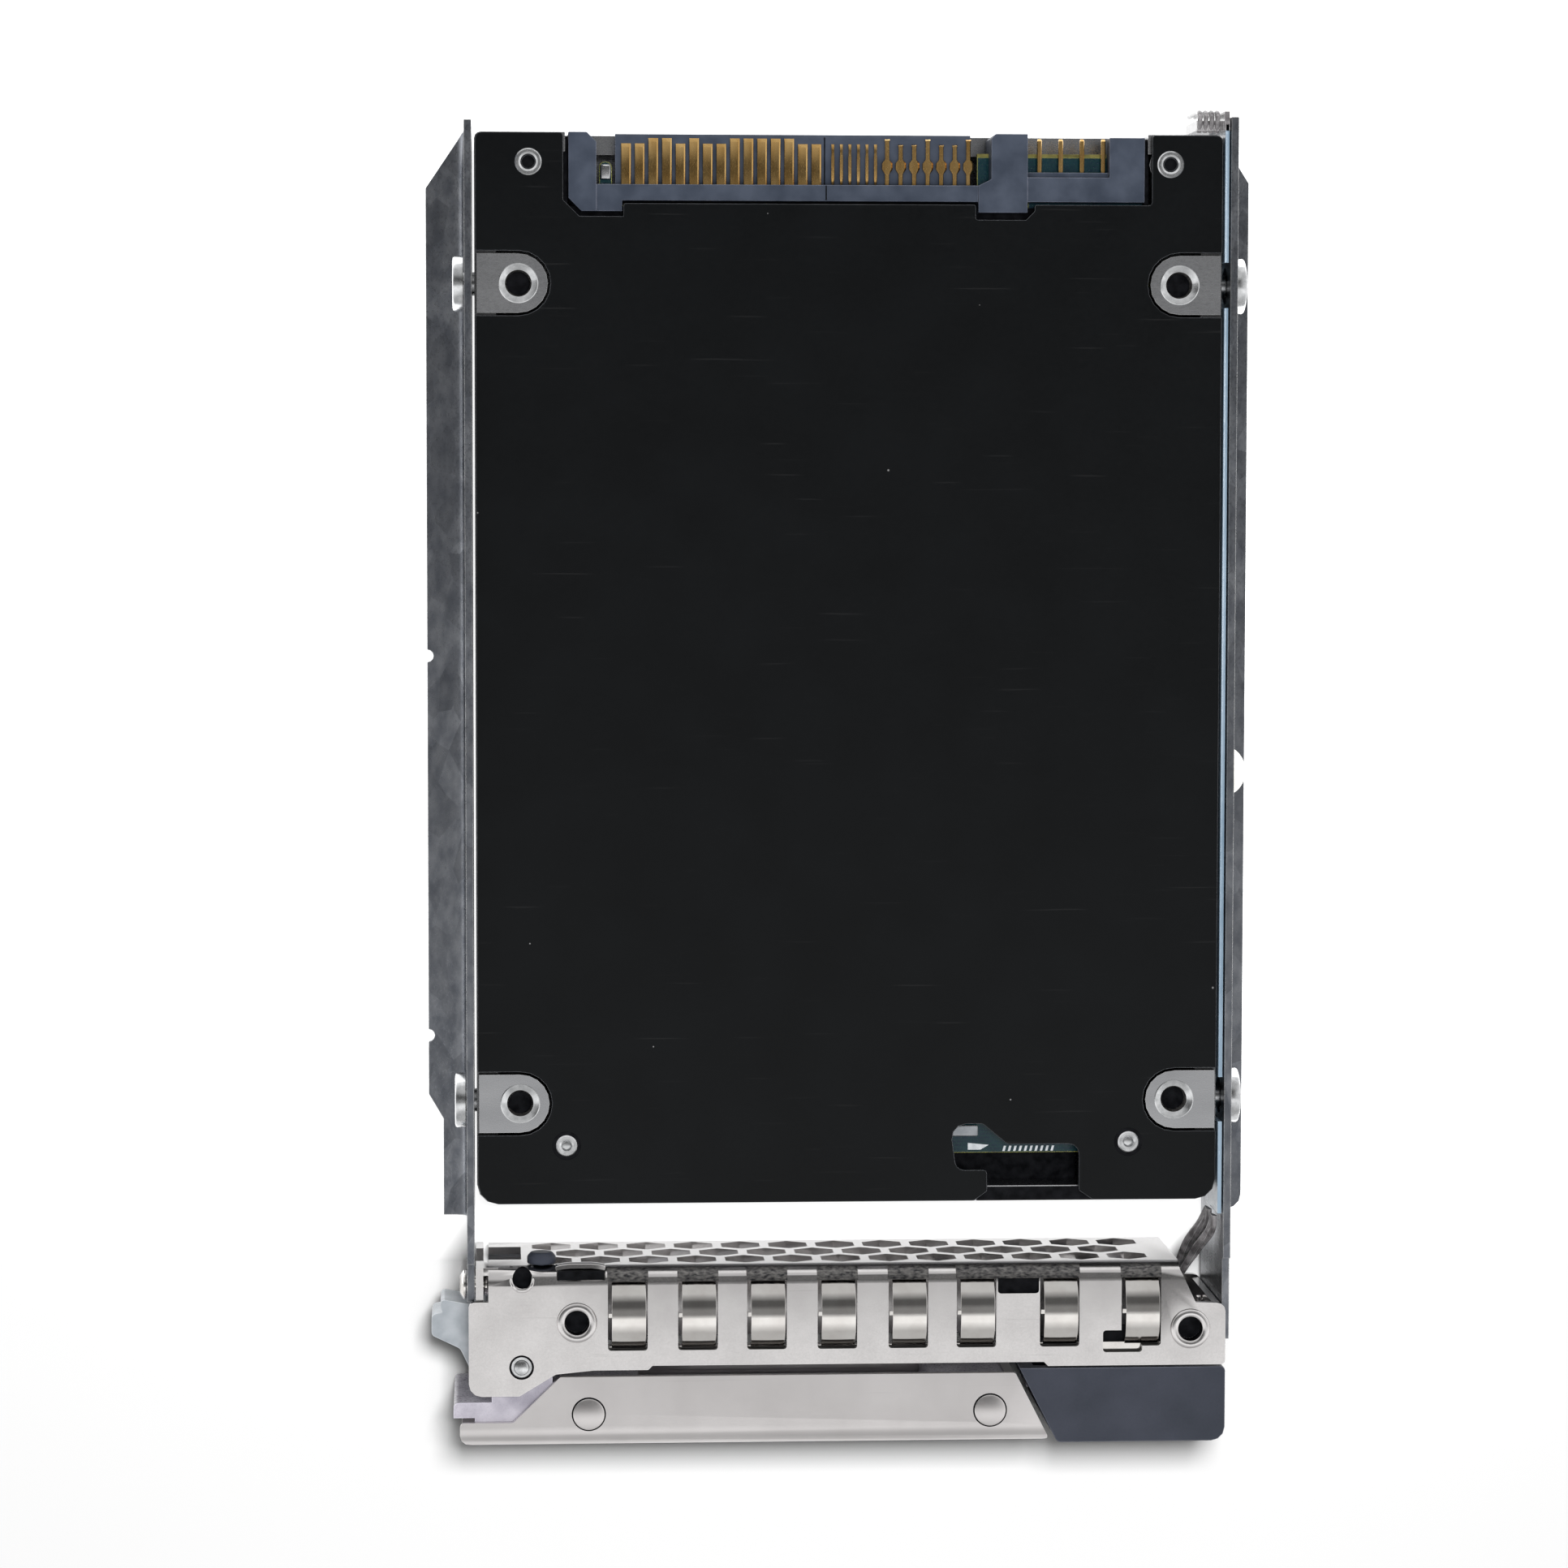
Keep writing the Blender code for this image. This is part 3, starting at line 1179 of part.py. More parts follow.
def lever():
    """The carrier's cam lever: a steel channel on a plastic core, with a metal hook."""
    profile = channel(front_face, ahead(9.0), FRAME_TOP, 0.0, LEVER_BEND)
    steel = plate("lever_plate", "YZ", profile, lever_left - 3, lever_right_front + 3, stainless)
    boolean(steel, plate("lever_plan", "XY", lever_plan(), -5, 25, cutter=True), "INTERSECT")
    for row in range(2):
        z = FRAME_TOP / 2 + (row - 0.5) * HEX_ROW
        shift = HEX_PITCH_X / 2 if row else 0.0
        for index in range(7):
            x = -15.0 + shift + index * HEX_PITCH_X
            ring = circle(x, z, HEX_WIDTH / math.sqrt(3), 6, math.pi / 6)
            vent = plate(f"vent_{row}_{index}", "XZ", ring, front_face - 1, front_face + 1.5, cutter=True)
            join_cutters(vent)
    cut(steel, *take_cutters("lever_vents"))
    core_low = SHEET + GAP
    core_high = frame_low - GAP
    front = front_face + SHEET + LEVER_BEND
    ear = left(-2.275)
    plan = rounded([
        (pivot_x - 2.8, pivot_y),
        (pivot_x - 2.8, ahead(12.9)),
        (ear, ahead(12.9), 0.5),
        (ear, ahead(14.35)),
        (lever_left + 1.4, ahead(14.35)),
        (lever_left + 1.4, front, 1.5),
        (pivot_x + 11.3, front, 0.4),
        (pivot_x + 11.3, ahead(12.0), 0.4),
        (pivot_x + 2.9, ahead(12.0), 0.4),
        (pivot_x + 2.9, pivot_y),
    ])
    core = plate("lever_insert", "XY", plan, core_low, core_high, lever_plastic)
    boss = circle(pivot_x, pivot_y, BOSS_RADIUS, 24)
    end_left = lever_right_front - 11.2
    end_rear = ahead(11.2)
    right_plan = rounded([
        (end_left, front, 0.4),
        (lever_right_front - 1.6, front, 0.4),
        (lever_right_rear - 0.6, end_rear, 0.4),
        (end_left, end_rear, 0.4),
    ])
    rib_x = (pivot_x + 10.3, end_left + 1.0)
    rib_y = (ahead(15.2), ahead(13.2))
    join(
        core,
        plate("insert_boss", "XY", boss, core_low, core_high, cutter=True),
        plate("insert_end", "XY", right_plan, core_low, core_high, cutter=True),
        box("upper_rib", rib_x, rib_y, (core_high - 0.9, core_high), cutter=True),
        box("lower_rib", rib_x, rib_y, (core_low, core_low + 0.9), cutter=True),
    )
    cut(
        core,
        box(
            "hook_space", (pivot_x - 10, pivot_x + 3.8), (ahead(12.7), ahead(4.0)),
            (HOOK_LOW - GAP, HOOK_HIGH + GAP), cutter=True,
        ),
        plate("insert_bore", "XY", circle(pivot_x, pivot_y, PIN_RADIUS + PIN_FIT, 24), -2, 20, cutter=True),
    )
    spring_room = plate(
        "spring_room", "XY", rectangle(pivot_x - 6.2, pivot_x + 4.8, ahead(12.7), ahead(4.0)), 0, 3.4,
        holes=[circle(pivot_x, pivot_y, 2.3, 16)], cutter=True,
    )
    cut(core, spring_room)
    hook_points = [
        (-3.4, 4.8, 0.4),
        (-7.8, 5.6, 0.4),
        (-7.5, 4.3, 0.0),
        (-HOOK_REACH, 4.1, 0.5),
        (-HOOK_REACH, 2.1, 0.5),
        (-5.8, 0.8, 0.8),
        (-4.2, -2.5, 0.8),
        (-0.2, -2.95, 0.8),
        (2.6, -1.8, 1.0),
        (2.6, 1.8, 1.5),
        (-0.2, 3.0, 1.0),
    ]
    hook = rounded([(pivot_x + x, pivot_y + y, radius) for x, y, radius in hook_points])
    tooth = plate(
        "lever_hook", "XY", hook, HOOK_LOW, HOOK_HIGH, galvanised,
        holes=[circle(pivot_x, pivot_y, PIN_RADIUS + PIN_FIT, 24)],
    )
    for number, x in enumerate((left_rivet_x, right_rivet_x), 1):
        hole = circle(x, rivet_y, 1.1, 16)
        drill = plate(f"lever_rivet_hole_{number}", "XY", hole, 10, 20, cutter=True)
        cut(steel, drill)
        cut(core, drill)
        turned(
            f"lever_rivet_{number}",
            [(0, 0.45), (1.0, 0.42), (RIVET_HEAD_RADIUS, 0.12), (RIVET_HEAD_RADIUS, 0.0), (1.0, 0.0),
             (1.0, -6.0), (0, -6.0)],
            "Z", (x, rivet_y, FRAME_TOP + FIT), screw_steel, steps=20,
        )
    turns = 3
    path = [(pivot_x + 4.2, pivot_y - 2.95, 1.3), (pivot_x + 1.0, pivot_y - 2.85, 1.3)]
    for step in range(turns * 12 + 1):
        angle = -math.pi / 2 + math.tau * step / 12
        x = pivot_x + 2.75 * math.cos(angle)
        y = pivot_y + 2.75 * math.sin(angle)
        path.append((x, y, 1.35 + 0.55 * step / 12))
    wire("lever_spring", path, 0.2, spring_steel, sides=0)
    return steel


# ------------------------------------------------------------------------ bezel
def bezel_edge(y, offset):
    """The slanted side of the bezel beside the lever's end."""
    return lever_right_rear + (lever_rear - y) * slant + offset


def bezel():
    """The plastic end of the front: shell, back plate, button, catch and spring."""
    rear = frame_front - 2 * FIT
    front = front_face
    half = frame_half
    plan = rounded([
        (bezel_edge(rear, 0.6), rear),
        (bezel_edge(front, 0.6), front, 0.5),
        (half, front, 1.3),
        (half, rear, 0.4),
    ])
    shell = plate("bezel", "XY", plan, 0.0, FRAME_TOP, bezel_plastic)
    edge = shell.modifiers.new("Bevel", "BEVEL")
    edge.width = MM * 0.35
    edge.segments = 1
    edge.limit_method = "ANGLE"
    edge.angle_limit = math.radians(50)
    inner_front = front + BEZEL_WALL
    flange_rear = inner_front + 0.15 + BUTTON_FLANGE
    catch_front = flange_rear + BUTTON_TRAVEL + FIT
    catch_rear = catch_front + CATCH_THICKNESS
    catch_slot_x = (bezel_edge(catch_rear, -1.0), bezel_edge(catch_front, 3.0))
    room = [
        (bezel_edge(rear + 1, 0.6 + BEZEL_WALL), rear + 1),
        (bezel_edge(inner_front, 0.6 + BEZEL_WALL), inner_front),
        (half - BEZEL_WALL, inner_front),
        (half - BEZEL_WALL, rear + 1),
    ]
    button_hole = rectangle(
        button_left - GAP, button_right + GAP, BUTTON_LOW - GAP, BUTTON_HIGH + GAP, 0.9,
    )
    cut(
        shell,
        plate("bezel_room", "XY", room, BEZEL_WALL, FRAME_TOP - BEZEL_WALL, cutter=True),
        plate("button_hole", "XZ", button_hole, front - 1, inner_front + 1, cutter=True),
        box("catch_slot", catch_slot_x, (catch_front - GAP, catch_rear + GAP), (6.2, 9.8), cutter=True),
    )
    for number, z in enumerate((LEAD_HIGH, LEAD_LOW), 1):
        hole = circle(lead_x, z, LEAD_RADIUS + 2 * FIT, 16)
        cut(shell, plate(f"window_hole_{number}", "XZ", hole, front - 1, inner_front + 1, cutter=True))

    back_y = (rear - 0.1, rear - 1.0)
    back_left = bezel_edge(rear, BEZEL_WALL + 2.5)
    back_right = half - BEZEL_WALL - FIT
    back = plate(
        "bezel_back", "XZ", rectangle(back_left, back_right, BEZEL_WALL + FIT, FRAME_TOP - BEZEL_WALL - FIT),
        back_y[1], back_y[0], bezel_plastic,
        holes=[circle(lead_x, z, LEAD_RADIUS + 5 * FIT, 16) for z in (LEAD_HIGH, LEAD_LOW)],
    )
    face = rectangle(button_left, button_right, BUTTON_LOW, BUTTON_HIGH, 0.8)
    flange = rectangle(button_left - 0.5, button_right + 0.5, BUTTON_LOW - 0.6, BUTTON_HIGH + 0.6, 0.5)
    button = plate("release_button", "XZ", face, front + 0.05, inner_front + 0.4, button_plastic)
    middle_x = (button_left + button_right) / 2
    middle_z = (BUTTON_LOW + BUTTON_HIGH) / 2
    join(
        button,
        plate("button_flange", "XZ", flange, flange_rear - BUTTON_FLANGE, flange_rear, cutter=True),
        plate("button_stem", "XZ", circle(middle_x, middle_z, 1.1, 20), inner_front + 0.5, inner_front + 2.0,
              cutter=True),
    )
    start = flange_rear + GAP
    stop = back_y[1] - GAP
    coil = []
    turns = 4
    for step in range(turns * 12 + 1):
        angle = math.tau * step / 12
        y = start + (stop - start) * step / (turns * 12)
        coil.append((middle_x + 1.7 * math.cos(angle), y, middle_z + 1.7 * math.sin(angle)))
    wire("button_spring", coil, 0.15, spring_steel, sides=0)
    nose = bezel_edge(catch_front, CATCH_GAP)
    tall = BUTTON_HIGH + 1.1
    column = bezel_edge(catch_front, 0.6 + BEZEL_WALL + GAP)
    catch = [
        (nose, 6.6),
        (column + 1.1, 6.6),
        (column + 1.1, tall),
        (button_right + 0.8, tall),
        (button_right + 0.8, 9.0),
        (button_right + 2.0, 9.0),
        (button_right + 2.0, tall + 1.2),
        (column, tall + 1.2),
        (column, 9.4),
        (nose, 9.4),
    ]
    plate("catch", "XZ", catch, catch_front, catch_rear, lever_plastic)
    return back


drive_housing()
drive_cover()
cover_screws()
main_board()
electronics()
connector_housing()
contacts()
rails()
light_pipe()
front_frame()
emi_strip()
frame_details()
lever()
bezel()

for solid in parts.objects:
    if solid.type == "MESH":
        solid.data.shade_smooth()
        solid.data.set_sharp_from_angle(angle=math.radians(35))
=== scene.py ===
import math

import bmesh
import bpy
from mathutils import Matrix, Vector


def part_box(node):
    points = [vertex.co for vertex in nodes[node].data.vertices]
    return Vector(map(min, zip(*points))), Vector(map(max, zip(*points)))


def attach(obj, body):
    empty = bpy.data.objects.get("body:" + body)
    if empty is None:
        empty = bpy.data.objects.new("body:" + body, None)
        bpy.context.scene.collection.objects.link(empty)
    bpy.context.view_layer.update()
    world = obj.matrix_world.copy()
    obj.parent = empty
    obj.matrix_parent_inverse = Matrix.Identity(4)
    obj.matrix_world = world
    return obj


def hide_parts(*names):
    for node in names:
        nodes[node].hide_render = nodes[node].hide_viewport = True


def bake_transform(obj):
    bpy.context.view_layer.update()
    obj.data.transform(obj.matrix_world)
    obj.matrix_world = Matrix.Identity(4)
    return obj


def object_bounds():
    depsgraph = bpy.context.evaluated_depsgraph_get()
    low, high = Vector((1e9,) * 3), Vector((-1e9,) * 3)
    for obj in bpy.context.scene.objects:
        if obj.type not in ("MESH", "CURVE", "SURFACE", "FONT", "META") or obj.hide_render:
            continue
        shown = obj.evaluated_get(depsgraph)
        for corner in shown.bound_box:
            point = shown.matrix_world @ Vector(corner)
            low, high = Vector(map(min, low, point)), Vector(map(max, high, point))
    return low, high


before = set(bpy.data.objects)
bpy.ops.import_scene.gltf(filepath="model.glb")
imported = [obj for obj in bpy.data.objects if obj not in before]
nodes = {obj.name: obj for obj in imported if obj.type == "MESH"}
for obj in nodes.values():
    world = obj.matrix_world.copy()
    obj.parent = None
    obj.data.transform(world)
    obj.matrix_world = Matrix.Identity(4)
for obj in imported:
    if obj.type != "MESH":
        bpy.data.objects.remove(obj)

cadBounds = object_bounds()
mm = 0.001

# Drive coordinates in millimetres: x from the centreline, y from the rear edge of the drive, z up.
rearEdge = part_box("drive_housing")[1].y


def at(x, y, z):
    return Vector((x * mm, rearEdge + y * mm, z * mm))


def span(node):
    low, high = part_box(node)
    shift = Vector((0, rearEdge, 0))
    return (low - shift) / mm, (high - shift) / mm


def middleOf(node):
    low, high = span(node)
    return (low.x + high.x) / 2, (low.y + high.y) / 2, (low.z + high.z) / 2


# What each finish looks like. Sizes are in millimetres; colours are linear.
finishes = {
    "coverCoating": dict(
        colour=(0.0005, 0.0008, 0.0011), second=(0.0010, 0.0014, 0.0018), patch=7.0, rough=(0.30, 0.42),
        grain=0.30, bump=0.003, edge=(0.11, 0.115, 0.125), edgeWidth=0.10, specular=0.22, specks=0.30,
        scuffs=0.02,
    ),
    "machinedAluminium": dict(
        colour=(0.42, 0.425, 0.44), second=(0.52, 0.525, 0.54), patch=4.0, rough=(0.24, 0.32), grain=0.12,
        bump=0.0012, metallic=1.0, stretch=(0.35, 1.0, 1.0), edge=(0.95, 0.95, 0.95), edgeWidth=0.10,
        paintedShade=1.6,
    ),
    "connectorMoulding": dict(
        colour=(0.020, 0.026, 0.039), second=(0.036, 0.044, 0.062), patch=2.2, rough=(0.40, 0.58),
        grain=0.10, bump=0.005, edge=(0.20, 0.21, 0.26), edgeWidth=0.10, specular=0.35, paintedShade=1.2,
    ),
    "contactGold": dict(
        colour=(0.60, 0.36, 0.12), second=(0.76, 0.50, 0.20), patch=0.9, rough=(0.14, 0.28), grain=0.06,
        bump=0.002, metallic=1.0, stretch=(1.0, 0.25, 1.0), paintedShade=0.5,
    ),
    "galvanisedSteel": dict(
        colour=(0.18, 0.192, 0.218), second=(0.32, 0.332, 0.358), patch=1.0, rough=(0.24, 0.40), grain=0.16,
        bump=0.003, metallic=1.0, stretch=(1.0, 0.5, 1.0), edge=(0.92, 0.92, 0.90), edgeWidth=0.12,
        spangle=1.8,
    ),
    "brightNickel": dict(
        colour=(0.70, 0.68, 0.675), second=(0.78, 0.76, 0.755), patch=4.0, rough=(0.16, 0.24), grain=0.15,
        bump=0.0010, metallic=1.0, edge=(0.95, 0.94, 0.92), edgeWidth=0.10, scratches=0.10, paintedShade=3.0,
        paintedShadeRear=0.42,
    ),
    "satinStainless": dict(
        colour=(0.66, 0.635, 0.63), second=(0.73, 0.705, 0.70), patch=6.0, rough=(0.30, 0.38), grain=0.12,
        bump=0.0012, metallic=1.0, edge=(0.90, 0.88, 0.85), edgeWidth=0.10, scratches=0.06,
    ),
    "springSteel": dict(
        colour=(0.74, 0.71, 0.68), second=(0.84, 0.82, 0.79), patch=2.0, rough=(0.07, 0.13), grain=0.12,
        bump=0.001, metallic=1.0, edge=(0.98, 0.98, 0.98), edgeWidth=0.05,
    ),
    "screwSteel": dict(
        colour=(0.52, 0.53, 0.54), second=(0.78, 0.79, 0.80), patch=0.7, rough=(0.14, 0.28), grain=0.08,
        bump=0.003, metallic=1.0, edge=(0.97, 0.97, 0.97), edgeWidth=0.06, paintedShade=0.8,
    ),
    "bezelPlastic": dict(
        colour=(0.018, 0.021, 0.029), second=(0.026, 0.029, 0.040), patch=5.0, rough=(0.42, 0.58),
        grain=0.26, bump=0.030, edge=(0.12, 0.125, 0.15), edgeWidth=0.14, specular=0.35,
    ),
    "leverPlastic": dict(
        colour=(0.20, 0.19, 0.225), second=(0.34, 0.325, 0.365), patch=2.4, rough=(0.22, 0.38), grain=0.2,
        bump=0.006, edge=(0.6, 0.58, 0.66), edgeWidth=0.12, specular=0.6,
    ),
    "castHook": dict(
        colour=(0.34, 0.37, 0.40), second=(0.48, 0.51, 0.54), patch=2.0, rough=(0.28, 0.42), grain=0.2,
        bump=0.006, metallic=0.6, edge=(0.8, 0.82, 0.84), edgeWidth=0.15,
    ),
    "buttonPlastic": dict(
        colour=(0.22, 0.035, 0.06), second=(0.27, 0.05, 0.08), patch=3.0, rough=(0.38, 0.5), grain=0.2,
        bump=0.012, edge=(0.42, 0.12, 0.15), edgeWidth=0.10,
    ),
    "chipEpoxy": dict(
        colour=(0.015, 0.015, 0.017), second=(0.024, 0.024, 0.026), patch=1.5, rough=(0.5, 0.65),
        grain=0.12, bump=0.006, edge=(0.06, 0.06, 0.06), edgeWidth=0.06,
    ),
    # black for painted shade in seams, gaps, holes and grooves
    "paintedShadeBlack": dict(
        colour=(0.0015, 0.0016, 0.0020), second=(0.0050, 0.0052, 0.0062), patch=0.8, rough=(0.5, 0.7),
        grain=0.15, bump=0.010, specular=0.08,
    ),
    # dark mottled steel: painted shade for the pad threads and the finger slots
    "paintedShadeSteel": dict(
        colour=(0.05, 0.05, 0.055), second=(0.30, 0.29, 0.28), patch=0.25, rough=(0.3, 0.5), grain=0.1,
        bump=0.03, metallic=1.0, stretch=(0.5, 1.0, 1.0),
    ),
    "shrinkSleeve": dict(
        colour=(0.02, 0.02, 0.05), second=(0.03, 0.03, 0.07), patch=2.0, rough=(0.25, 0.4), grain=0.3,
        bump=0.006,
    ),
    "thermalPad": dict(
        colour=(0.15, 0.16, 0.17), second=(0.22, 0.23, 0.24), patch=1.0, rough=(0.6, 0.8), grain=0.3,
        bump=0.02,
    ),
    "solderMask": dict(
        colour=(0.0008, 0.0075, 0.0145), second=(0.0014, 0.015, 0.021), patch=1.6, rough=(0.16, 0.30),
        grain=0.3, bump=0.006, edge=(0.34, 0.32, 0.06), edgeWidth=0.16, tracks=0.35,
    ),
    "fibreglassEdge": dict(
        colour=(0.050, 0.046, 0.014), second=(0.12, 0.108, 0.030), patch=0.8, rough=(0.5, 0.7), grain=0.1,
        bump=0.004,
    ),
    "pipeBlue": dict(
        colour=(0.14, 0.21, 0.28), second=(0.24, 0.32, 0.40), patch=2.5, rough=(0.12, 0.28), grain=0.2,
        bump=0.003, edge=(0.72, 0.82, 0.92), edgeWidth=0.08, through=0.25, specular=0.6,
        stretch=(1.0, 0.2, 1.0),
    ),
    "pipeClear": dict(
        colour=(0.060, 0.056, 0.058), second=(0.20, 0.19, 0.195), patch=0.9, rough=(0.08, 0.2), grain=0.2,
        bump=0.003, edge=(0.6, 0.6, 0.6), edgeWidth=0.05, through=0.06, specular=0.9,
    ),
    "bumperShell": dict(
        colour=(0.66, 0.65, 0.58), second=(0.78, 0.77, 0.70), patch=1.5, rough=(0.15, 0.3), grain=0.15,
        bump=0.002, specular=0.7,
    ),
    "padTin": dict(
        colour=(0.42, 0.44, 0.46), second=(0.55, 0.57, 0.59), patch=0.5, rough=(0.25, 0.4), grain=0.05,
        bump=0.002, metallic=0.4,
    ),
    "labelFoil": dict(
        colour=(0.62, 0.63, 0.64), second=(0.70, 0.71, 0.72), patch=9.0, rough=(0.35, 0.45), grain=0.4,
        bump=0.004, specular=0.5, edge=(0.45, 0.45, 0.46), edgeWidth=0.2,
    ),
}


def newNode(tree, kind, **values):
    node = tree.nodes.new(kind)
    for key, value in values.items():
        setattr(node, key, value)
    return node


def mapRange(tree, source, fromLow, fromHigh, toLow=0.0, toHigh=1.0):
    node = newNode(tree, "ShaderNodeMapRange", clamp=True)
    for name, value in (("From Min", fromLow), ("From Max", fromHigh), ("To Min", toLow), ("To Max", toHigh)):
        node.inputs[name].default_value = value
    tree.links.new(source, node.inputs["Value"])
    return node.outputs["Result"]


def mixColours(tree, amount, first, second):
    node = newNode(tree, "ShaderNodeMix", data_type="RGBA")
    tree.links.new(amount, node.inputs[0])
    for socket, value in ((node.inputs[6], first), (node.inputs[7], second)):
        if isinstance(value, tuple):
            socket.default_value = (*value, 1.0)
        else:
            tree.links.new(value, socket)
    return node.outputs[2]


def combine(tree, operation, first, second):
    node = newNode(tree, "ShaderNodeMath", operation=operation)
    for socket, value in zip(node.inputs, (first, second)):
        if isinstance(value, float):
            socket.default_value = value
        else:
            tree.links.new(value, socket)
    return node.outputs[0]


def noiseAt(tree, coords, size, detail=3.0):
    node = newNode(tree, "ShaderNodeTexNoise")
    node.inputs["Scale"].default_value = 1.0 / (size * mm)
    node.inputs["Detail"].default_value = detail
    tree.links.new(coords, node.inputs["Vector"])
    return node.outputs["Fac"]


def cellsAt(tree, coords, size):
    node = newNode(tree, "ShaderNodeTexVoronoi")
    node.inputs["Scale"].default_value = 1.0 / (size * mm)
    tree.links.new(coords, node.inputs["Vector"])
    return node


def stretched(tree, coords, amounts, turn=0.0):
    node = newNode(tree, "ShaderNodeMapping")
    node.inputs["Scale"].default_value = amounts
    node.inputs["Rotation"].default_value = (0.0, 0.0, turn)
    tree.links.new(coords, node.inputs["Vector"])
    return node.outputs["Vector"]


def edgeMask(tree, width):
    # where a rounded normal leaves the true one, an edge is near
    rounded = newNode(tree, "ShaderNodeBevel", samples=4)
    rounded.inputs["Radius"].default_value = width * mm
    plain = newNode(tree, "ShaderNodeNewGeometry")
    dot = newNode(tree, "ShaderNodeVectorMath", operation="DOT_PRODUCT")
    tree.links.new(rounded.outputs["Normal"], dot.inputs[0])
    tree.links.new(plain.outputs["Normal"], dot.inputs[1])
    return mapRange(tree, dot.outputs["Value"], 0.985, 0.80)


def makeFinish(name, look):
    material = bpy.data.materials.new(name)
    material.use_nodes = True
    tree = material.node_tree
    shader = tree.nodes["Principled BSDF"]
    shader.inputs["Metallic"].default_value = look.get("metallic", 0.0)
    shader.inputs["Specular IOR Level"].default_value = look.get("specular", 0.5)
    shader.inputs["Transmission Weight"].default_value = look.get("through", 0.0)
    plain = newNode(tree, "ShaderNodeTexCoord").outputs["Object"]
    where = stretched(tree, plain, look["stretch"]) if "stretch" in look else plain
    patches = noiseAt(tree, where, look["patch"])
    grain = noiseAt(tree, where, look["grain"], 2.0)
    colour = mixColours(tree, mapRange(tree, patches, 0.32, 0.68), look["colour"], look["second"])
    if "spangle" in look:
        # zinc crystals: each cell has its own grey
        grey = newNode(tree, "ShaderNodeSeparateColor")
        tree.links.new(cellsAt(tree, where, look["spangle"]).outputs["Color"], grey.inputs["Color"])
        darker = tuple(0.5 * value for value in look["colour"])
        colour = mixColours(tree, mapRange(tree, grey.outputs[0], 0.0, 1.0, 0.0, 0.5), colour, darker)
    if "tracks" in look:
        lines = newNode(tree, "ShaderNodeTexBrick", offset=0.3)
        lines.inputs["Scale"].default_value = 1.0 / (look["tracks"] * 4 * mm)
        lines.inputs["Mortar Size"].default_value = 0.03
        tree.links.new(where, lines.inputs["Vector"])
        copper = combine(tree, "MULTIPLY", lines.outputs["Fac"], 0.6)
        colour = mixColours(tree, copper, colour, (0.002, 0.020, 0.018))
    if "specks" in look:
        # a little dust
        for size, radius in ((6.5, 0.014), (11.0, 0.012)):
            near = cellsAt(tree, plain, size).outputs["Distance"]
            dust = mapRange(tree, near, radius, 0.6 * radius, 0.0, look["specks"])
            colour = mixColours(tree, dust, colour, (0.4, 0.4, 0.4))
    for key, turn, light in (("scuffs", 0.9, (0.2, 0.2, 0.2)), ("scratches", 0.15, (0.25, 0.24, 0.23))):
        if key in look:
            fine = stretched(tree, plain, (0.05, 1.6, 1.0), turn)
            lines = mapRange(tree, noiseAt(tree, fine, 0.5, 1.0), 0.70, 0.78, 0.0, look[key])
            colour = mixColours(tree, lines, colour, light)
    # edges get a lighter colour: partly real rubbing, partly a painted highlight where rounded edges catch
    # light
    if "edge" in look:
        nearEdge = edgeMask(tree, look["edgeWidth"])
        uneven = mapRange(tree, patches, 0.25, 0.55, 0.5, 1.0)
        wearAndHighlight = combine(tree, "MULTIPLY", nearEdge, uneven)
        colour = mixColours(tree, wearAndHighlight, colour, look["edge"])
    if "paintedShadeRear" in look:
        # painted shade: faces that look back into the carrier are darkened
        facing = newNode(tree, "ShaderNodeSeparateXYZ")
        tree.links.new(newNode(tree, "ShaderNodeTexCoord").outputs["Normal"], facing.inputs[0])
        rearShade = tuple(look["paintedShadeRear"] * value for value in look["colour"])
        colour = mixColours(tree, mapRange(tree, facing.outputs["Y"], 0.75, 0.97), colour, rearShade)
    if "paintedShade" in look:
        # painted shade: the colour goes towards black where little light gets in
        occlusionShade = newNode(tree, "ShaderNodeAmbientOcclusion", samples=6)
        occlusionShade.inputs["Distance"].default_value = look["paintedShade"] * mm
        depth = mapRange(tree, occlusionShade.outputs["AO"], 0.15, 0.6, 0.88, 0.0)
        colour = mixColours(tree, depth, colour, tuple(0.06 * value for value in look["colour"]))
    tree.links.new(colour, shader.inputs["Base Color"])
    smooth, coarse = look["rough"]
    tree.links.new(mapRange(tree, grain, 0.3, 0.7, smooth, coarse), shader.inputs["Roughness"])
    bump = newNode(tree, "ShaderNodeBump")
    bump.inputs["Strength"].default_value = 0.6
    bump.inputs["Distance"].default_value = look["bump"] * mm
    tree.links.new(grain, bump.inputs["Height"])
    tree.links.new(bump.outputs["Normal"], shader.inputs["Normal"])
    return material


materials = {name: makeFinish(name, look) for name, look in finishes.items()}
print("finishes made:", len(materials))

flashChips = [f"flash_chip_{number}" for number in range(1, 7)]

